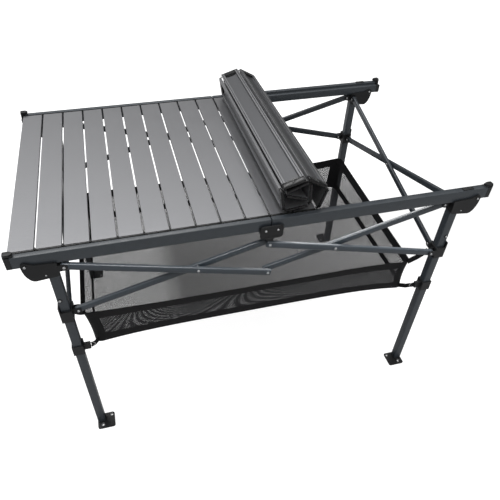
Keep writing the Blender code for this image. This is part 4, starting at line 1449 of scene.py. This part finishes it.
@dataclass
class Basket:
    """The hanging net basket in two halves, with taped edges, corner straps and rings."""

    finishes: Finishes
    rim: Point = (0.4665, 0.2800, 0.4410)
    base: Point = (0.4550, 0.2740, 0.3160)
    wider: tuple[Pair, Pair] = ((0.012, 0.022), (0.020, 0.014))
    droops: tuple[Pair, Pair] = ((0.006, -0.006), (0.013, 0.019))
    slack_power: int = 5
    slack_shares: Pair = (0.2, 0.8)
    base_reach: float = 0.007
    base_arch: float = 0.013
    arch_power: int = 4
    arch_share: float = 0.4
    floor_dip: float = 0.004
    rim_sags: Pair = (0.004, 0.002)
    hollow: float = 0.004
    side_margin: float = 0.02
    corner: float = 0.021
    corner_fold: float = 0.013
    long_steps: int = 13
    end_steps: int = 16
    floor_steps: tuple[int, int] = (16, 18)
    weld: float = 0.0004
    tape: float = 0.030
    base_tape: float = 0.027
    tape_overlap: float = 0.9
    tape_lift: float = 0.0006
    near_corner: tuple[int, int] = (13, 20)
    far_corner: tuple[int, int] = (35, 42)
    corner_lift: float = 0.0004
    tape_thickness: float = 0.0012
    fold_keep: float = 0.116
    fold_lines: Pair = (-0.2517, -0.1669)
    hook: Point = (0.4958, 0.3119, 0.4945)
    tab: Point = (0.4765, 0.3265, 0.3710)
    strap_inset: float = 0.002
    rim_end: float = -0.005
    base_end: Pair = (0.013, 0.007)
    strap_bends: tuple[Pair, Pair] = ((0.003, 0.5), (0.004, 0.6))
    upper_across: Point = (0.38, 0.7, -0.61)
    lower_across: Point = (0.0, 0.35, 1.0)
    ring_share: float = 0.12
    strap_width: float = 0.014
    strap_thickness: float = 0.0014
    ring: Pair = (0.0075, 0.0011)

    def at(self, axis: int, level: float) -> float:
        """The wall's distance or height along an axis, at a level from 0 at the base to 1 at the rim."""
        return self.base[axis] + (self.rim[axis] - self.base[axis]) * level

    @staticmethod
    def between(pairs: tuple[Pair, Pair], level: float, sign: int) -> float:
        """One half's value at a level, from its pair of values at the base and the rim."""
        low, high = pairs[(sign + 1) // 2]
        return low + (high - low) * level

    def reach(self, level: float, sign: int) -> float:
        """How far one half reaches from the middle at a level."""
        return self.at(0, level) + self.between(self.wider, level, sign)

    def slack(self, u: float, v: float) -> float:
        """How far an end hangs from level: 1 at the near corner, and the other way at the far one."""
        return abs(u) ** self.slack_power * (self.slack_shares[0] - self.slack_shares[1] * v)

    def arch(self, u: float, v: float) -> float:
        """How far the base is drawn up, for places from -1 to 1 across and along."""
        along = max(0.0, 1 - self.arch_share * (1 - v * v))
        return self.base_arch * max(0.0, 1 - abs(u) ** self.arch_power) * along

    def _outline(self, level: float, sign: int) -> list[Vector]:
        """Points round one half's edge, from the near middle by its end to the far middle.

        Args:
            level: 0 at the base and 1 at the rim.
            sign: -1 for the left half and 1 for the right half.

        Returns:
            Points with the height that belongs to each.
        """
        x, y, z = self.reach(level, sign), self.at(1, level), self.at(2, level)
        run = x - self.corner - self.corner_fold
        marks = [i * run / self.long_steps for i in range(self.long_steps + 1)]
        flat = [(u, -y) for u in marks]
        flat += arc((x - self.corner, -y + self.corner), self.corner, -90, 0, 5)
        flat += [(x, -(y - self.corner) + i * 2 * (y - self.corner) / self.end_steps)
                 for i in range(1, self.end_steps)]
        flat += arc((x - self.corner, y - self.corner), self.corner, 0, 90, 5)
        flat += [(u, y) for u in reversed(marks)]
        points = []
        for u, v in flat:
            long_side = abs(v) > y - self.side_margin
            share = 1 - (u / x) ** 2 if long_side else 1 - (v / y) ** 2
            sag = self.rim_sags[0 if long_side else 1] * level * max(0.0, share)
            sag -= (1 - level) * self.arch(u / x, v / y)
            loose = self.slack(u / x, v / y)
            sag += loose * self.between(self.droops, level, sign)
            u += loose * self.base_reach * (1 - level)
            pull = Vector((u, v, 0.0)).normalized() * (self.hollow * math.sin(math.pi * level))
            points.append(Vector((sign * (u - pull.x), v - pull.y, z - sag)))
        return points

    def _strip(self, shape: Shape, levels: Pair, sign: int, rows: int, out: float = 0.0,
               picks: slice = slice(None)) -> None:
        """Adds a band of the wall.

        Args:
            shape: where it is added.
            levels: its lower and its upper edge's level.
            sign: -1 for the left half and 1 for the right half.
            rows: how many rows of faces it has.
            out: how far it is pushed out from the wall.
            picks: which of the outline's points it takes.
        """
        low, high = levels
        shares = [low + (high - low) * i / rows for i in range(rows + 1)]
        lines = [[p + Vector((p.x, p.y, 0.0)).normalized() * out for p in self._outline(share, sign)[picks]]
                 for share in shares]
        lengths = [0.0]
        for a, b in zip(lines[0], lines[0][1:]):
            lengths.append(lengths[-1] + (b - a).length)
        height = self.rim[2] - self.base[2]
        shape.sheet(lines, [[(length, height * share) for length in lengths] for share in shares], True)

    def _floor(self, shape: Shape, sign: int) -> None:
        """Adds one half of the net floor, sagging a little between its edges.

        Args:
            shape: where it is added.
            sign: -1 for the left half and 1 for the right half.
        """
        x, y, z = self.reach(0.0, sign), *self.base[1:]
        columns, rows = self.floor_steps
        grid = []
        for i in range(columns + 1):
            line = []
            for j in range(rows + 1):
                u, v = x * i / columns, -y + 2 * y * j / rows
                over_x, over_y = u - (x - self.corner), abs(v) - (y - self.corner)
                if over_x > 0 and over_y > 0:
                    shrink = min(1.0, self.corner / math.hypot(over_x, over_y))
                    u = x - self.corner + over_x * shrink
                    v = math.copysign(y - self.corner + over_y * shrink, v)
                dip = self.floor_dip * (1 - (u / x) ** 2) * (1 - (v / y) ** 2) - self.arch(u / x, v / y)
                loose = self.slack(u / x, v / y)
                drop = dip + loose * self.between(self.droops, 0.0, sign)
                line.append((sign * (u + loose * self.base_reach), v, z - drop))
            grid.append(line)
        shape.sheet(grid, [[place[:2] for place in line] for line in grid])

    @staticmethod
    def _thicken(shape: Shape, thickness: float) -> None:
        """Gives a cloth thickness, with UV coordinates on the faces that this adds.

        Args:
            shape: the cloth.
            thickness: how thick it gets.
        """
        bmesh.ops.recalc_face_normals(shape.mesh, faces=shape.mesh.faces)
        layer = shape.mesh.loops.layers.uv.verify()
        shape.mesh.normal_update()
        made = bmesh.ops.solidify(shape.mesh, geom=shape.mesh.faces[:], thickness=thickness)
        for item in made["geom"]:
            if isinstance(item, bmesh.types.BMFace):
                for loop in item.loops:
                    if loop[layer].uv.length < UNSET_UV:
                        loop[layer].uv = (loop.vert.co.x + loop.vert.co.y, loop.vert.co.z)

    def _cloth(self, shape: Shape, name: str, end: Side, finish: Finish, node: str | None = None) -> None:
        """Finishes a cloth piece that rides on its near corner.

        Args:
            shape: the cloth.
            name: the piece's name.
            end: which half it belongs to.
            finish: its material and slot.
            node: the CAD node that it stands for, if any.
        """
        body = Corner(Side.NEAR, end).body("lower_collar")
        thing = shape.piece(name, body, finish, node, CLOTH_SMOOTH_DEG)
        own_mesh(thing)

    def half(self, end: Side) -> None:
        """Builds the net and the tapes of one half.

        Args:
            end: which half.
        """
        net = Shape()
        self._strip(net, (0.0, 1.0), end.sign, 8)
        self._floor(net, end.sign)
        bmesh.ops.remove_doubles(net.mesh, verts=net.mesh.verts, dist=self.weld)
        node = "net_basket" if end is Side.LEFT else None
        self._cloth(net, f"basket_net_{end.word}", end, self.finishes.net, node)
        height = self.rim[2] - self.base[2]
        low, high = self.base_tape / height, self.tape / height
        upright = (low * self.tape_overlap, 1 - high * self.tape_overlap)
        bands = (("rim_tape", (1 - high, 1.0), slice(None), self.tape_lift),
                 ("base_tape", (0.0, low), slice(None), self.tape_lift),
                 ("near_corner_tape", upright, slice(*self.near_corner), self.corner_lift),
                 ("far_corner_tape", upright, slice(*self.far_corner), self.corner_lift))
        for label, levels, picks, out in bands:
            band = Shape()
            self._strip(band, levels, end.sign, 4, out, picks)
            self._thicken(band, self.tape_thickness)
            self._cloth(band, f"basket_{label}_{end.word}", end, self.finishes.tape)

    def _strap(self, name: str, body: str, ends: tuple[Vector, Vector], bend: Pair, across: Vector) -> None:
        """Builds a flat strap that sags between two places.

        Args:
            name: the piece's name.
            body: the CAD body that it moves with.
            ends: where it starts and ends.
            bend: how far its middle sags, and where its last bend lies between the middle and the end.
            across: the way across its width.
        """
        start, end = ends
        middle = (start + end) / 2 - Vector((0.0, 0.0, bend[0]))
        points = [start, start.lerp(middle, 0.5), middle, middle.lerp(end, bend[1]), end]
        shares = (0.0, 0.25, 0.5, 0.75, 1.0)
        lines = [[point + across.normalized() * self.strap_width * (share - 0.5) for share in shares]
                 for point in points]
        runs = [0.0]
        for a, b in zip(points, points[1:]):
            runs.append(runs[-1] + (b - a).length)
        shape = Shape().sheet(lines, [[(run, share * self.strap_width) for share in shares] for run in runs])
        shape.mesh.normal_update()
        bmesh.ops.solidify(shape.mesh, geom=shape.mesh.faces[:], thickness=self.strap_thickness)
        shape.piece(name, body, self.finishes.tape, smooth_deg=CLOTH_SMOOTH_DEG)

    def corner_straps(self, corner: Corner) -> None:
        """Builds the short upper strap to the slider and the lower strap with its ring to the collar.

        Args:
            corner: the basket's corner.
        """
        sign = corner.end.sign
        collar = corner.body("lower_collar")
        tuck = self.corner * (1 - math.sqrt(0.5)) + self.strap_inset
        loose = self.slack(1.0, corner.side.sign)
        rise, slack_drop = self.base_end
        rim = corner.place(self.reach(1.0, sign) - tuck, self.rim[1] - tuck,
                           self.rim[2] + self.rim_end - loose * self.between(self.droops, 1.0, sign))
        base = corner.place(self.reach(0.0, sign) - tuck + loose * self.base_reach, self.base[1] - tuck,
                            self.base[2] + rise - loose * (self.between(self.droops, 0.0, sign) + slack_drop))
        tab = corner.place(*self.tab)
        upper, lower = self.strap_bends
        self._strap(f"basket_upper_strap_{corner.word}", corner.body("slider"),
                    (corner.place(*self.hook), rim), upper, corner.place(*self.upper_across))
        self._strap(f"basket_lower_strap_{corner.word}", collar, (base, tab), lower,
                    Vector(self.lower_across))
        ring = Shape().ring(tab.lerp(base, self.ring_share), Vector((0.0, 1.0, 0.0)), *self.ring)
        ring.piece(f"basket_ring_{corner.word}", collar, self.finishes.rivet)

    def build(self) -> None:
        """Builds the basket."""
        for end in ENDS:
            self.half(end)
            for side in LONG_SIDES:
                self.corner_straps(Corner(side, end))
        LOG.info("basket built")


# The studio


@dataclass(frozen=True)
class Panel:
    """A soft light that faces the table."""

    name: str
    place: Point
    size: Pair
    power: float
    target: Point = (0.0, 0.0, 0.5)

    def build(self) -> bpy.types.Object:
        """Adds the light.

        Returns:
            The light's object.
        """
        data = bpy.data.lights.new(self.name, "AREA")
        data.shape = "RECTANGLE"
        data.size, data.size_y = self.size
        data.energy = self.power
        thing = bpy.data.objects.new(self.name, data)
        thing.location = self.place
        thing.rotation_euler = (Vector(self.target) - Vector(self.place)).to_track_quat("-Z", "Y").to_euler()
        bpy.context.scene.collection.objects.link(thing)
        return thing


@dataclass
class Studio:
    """The pale floor with a painted shadow, the soft light and the camera."""

    camera_place: Point = (-0.3180, -1.2081, 1.4493)
    yaw: float = 15.535
    pitch: float = 42.993
    roll: float = 1.507
    focal_px: float = 497.457
    centre_px: Pair = (239.826, 258.817)
    side_px: float = 500.0
    sensor: float = 36.0
    floor_half: float = 30.0
    floor_tone: float = 0.45
    floor_glow: Pair = (0.09, 0.85)
    # The floor's painted shadow: its depth, and where it starts, deepens and fades along X and Y.
    shade: float = 0.6
    shade_x: Point = (-0.25, -0.16, 0.75)
    shade_right: float = 0.35
    shade_y: tuple[float, float, float, float] = (0.02, 0.12, 0.48, 0.72)
    sky_lean: float = 0.22
    sky_ramp: tuple[float, float, float, float] = (0.36, 0.79, 0.05, 1.33)
    back: Panel = Panel("back_strip", (-0.9, 1.5, 2.9), (3.4, 0.55), 42.0)
    edge: Panel = Panel("edge_strip", (1.1, 1.9, 2.3), (2.2, 1.5), 130.0)
    rim: Panel = Panel("rim_strip", (0.6, -0.8, 2.85), (3.2, 0.3), 160.0)
    front: Panel = Panel("front_panel", (0.9, -2.6, 1.6), (1.4, 0.9), 10.0)

    def camera(self) -> None:
        """Sets the camera at the photograph's viewing angle."""
        yaw, pitch, roll = (math.radians(a) for a in (self.yaw, self.pitch, self.roll))
        ahead = Vector((math.sin(yaw) * math.cos(pitch), math.cos(yaw) * math.cos(pitch), -math.sin(pitch)))
        right = Vector((math.cos(yaw), -math.sin(yaw), 0.0))
        up = right.cross(ahead)
        across = right * math.cos(roll) + up * math.sin(roll)
        upright = up * math.cos(roll) - right * math.sin(roll)
        data = bpy.data.cameras.new("photo_camera")
        data.sensor_width = self.sensor
        data.lens = self.focal_px / self.side_px * self.sensor
        data.shift_x = (self.side_px / 2 - self.centre_px[0]) / self.side_px
        data.shift_y = (self.centre_px[1] - self.side_px / 2) / self.side_px
        thing = bpy.data.objects.new("photo_camera", data)
        rows = Matrix((across, upright, -ahead)).transposed().to_4x4()
        thing.matrix_world = Matrix.Translation(self.camera_place) @ rows
        bpy.context.scene.collection.objects.link(thing)
        bpy.context.scene.camera = thing

    def _shade(self, nodes: Nodes) -> Socket:
        """How dark the floor is by its place: a painted soft shadow of the deck and the roll under the
        basket.

        Args:
            nodes: the floor material's node helper.

        Returns:
            The shade's socket.
        """
        place = nodes.split(nodes.add("ShaderNodeNewGeometry").outputs["Position"])
        x, y = place.outputs["X"], place.outputs["Y"]
        start, deep, end = self.shade_x
        fade = nodes.ramp(x, deep, end, 1.0, self.shade_right)
        sides = nodes.maths("MULTIPLY", nodes.ramp(x, start, deep), fade)
        fade = nodes.ramp(y, *self.shade_y[2:], 1.0, 0.0)
        depth = nodes.maths("MULTIPLY", nodes.ramp(y, *self.shade_y[:2]), fade)
        return nodes.maths("MULTIPLY", nodes.maths("MULTIPLY", sides, depth), self.shade)

    def floor(self) -> None:
        """Lays a wide pale floor with a painted soft shadow."""
        shape = bmesh.new()
        bmesh.ops.create_grid(shape, x_segments=1, y_segments=1, size=self.floor_half)
        data = bpy.data.meshes.new("studio_floor")
        shape.to_mesh(data)
        shape.free()
        material, nodes, shader = new_material("studio_white")
        seen = nodes.add("ShaderNodeLightPath").outputs["Is Camera Ray"]
        # Painted shadow under the table darkens both the floor's colour and its glow.
        shade = self._shade(nodes)
        black = (0.0, 0.0, 0.0)
        glow = nodes.mix(seen, *([level] * 3 for level in self.floor_glow))
        nodes.feed(shader, {"Base Color": nodes.mix(shade, [self.floor_tone] * 3, black), "Roughness": 0.9,
                            "Specular IOR Level": 0.0, "Emission Color": nodes.mix(shade, glow, black),
                            "Emission Strength": 1.0})
        data.materials.append(material)
        thing = bpy.data.objects.new("studio_floor", data)
        bpy.context.scene.collection.objects.link(thing)

    def light(self) -> None:
        """Sets a bright sky that is whiter overhead, and the soft lights."""
        world = bpy.data.worlds.new("studio_sky")
        world.use_nodes = True
        bpy.context.scene.world = world
        nodes = Nodes(world.node_tree)
        way = nodes.split(nodes.add("ShaderNodeTexCoord").outputs["Generated"])
        left = nodes.maths("MULTIPLY", way.outputs["X"], self.sky_lean)
        lean = nodes.maths("SUBTRACT", way.outputs["Z"], left)
        seen = nodes.add("ShaderNodeLightPath").outputs["Is Camera Ray"]
        nodes.feed(world.node_tree.nodes["Background"],
                   {"Color": (1.0, 1.0, 1.0, 1.0),
                    "Strength": nodes.maths("MAXIMUM", nodes.ramp(lean, *self.sky_ramp), seen)})
        self.back_strip, self.edge_strip, self.rim_strip, _ = (
            panel.build() for panel in (self.back, self.edge, self.rim, self.front))

    def aim(self, spared: Iterable[bpy.types.Object], edged: Iterable[bpy.types.Object]) -> None:
        """Links the strips to the pieces that they light.

        Args:
            spared: pieces that the back strip leaves out, because its glare would bleach them.
            edged: the only pieces that the edge and rim strips light, along their top edges.
        """
        left_out = bpy.data.collections.new("spared_from_back_strip")
        lit = bpy.data.collections.new("lit_by_edge_strip")
        for pieces, group in ((spared, left_out), (edged, lit)):
            for piece in pieces:
                group.objects.link(piece)
        for entry in left_out.collection_objects:
            entry.light_linking.link_state = "EXCLUDE"
        self.back_strip.light_linking.receiver_collection = left_out
        for strip in (self.edge_strip, self.rim_strip):
            strip.light_linking.receiver_collection = lit

    def build(self) -> None:
        """Sets up camera, floor and light."""
        bpy.context.scene.view_settings.view_transform = "Standard"
        self.camera()
        self.floor()
        self.light()


def main() -> None:
    """Builds the table's looks in order."""
    logging.basicConfig(level=logging.INFO)
    studio = Studio()
    studio.build()
    finishes = Finishes()
    for kind in (Legs, Rails, Scissor, Mouldings, Deck, Basket):
        known = set(bpy.context.scene.objects)
        kind(finishes).build()
        for piece in bpy.context.scene.objects:
            if piece not in known:
                LOG.info("%s: %s", kind.__name__, piece.name)
    meshes = [thing for thing in bpy.context.scene.objects if thing.type == "MESH"]
    slat = finishes.slat.material.name
    studio.aim([thing for thing in meshes if slat in thing.data.materials],
               [thing for thing in meshes if thing.name.startswith("scissor_long_bar_near")])


if __name__ == "__main__":
    main()
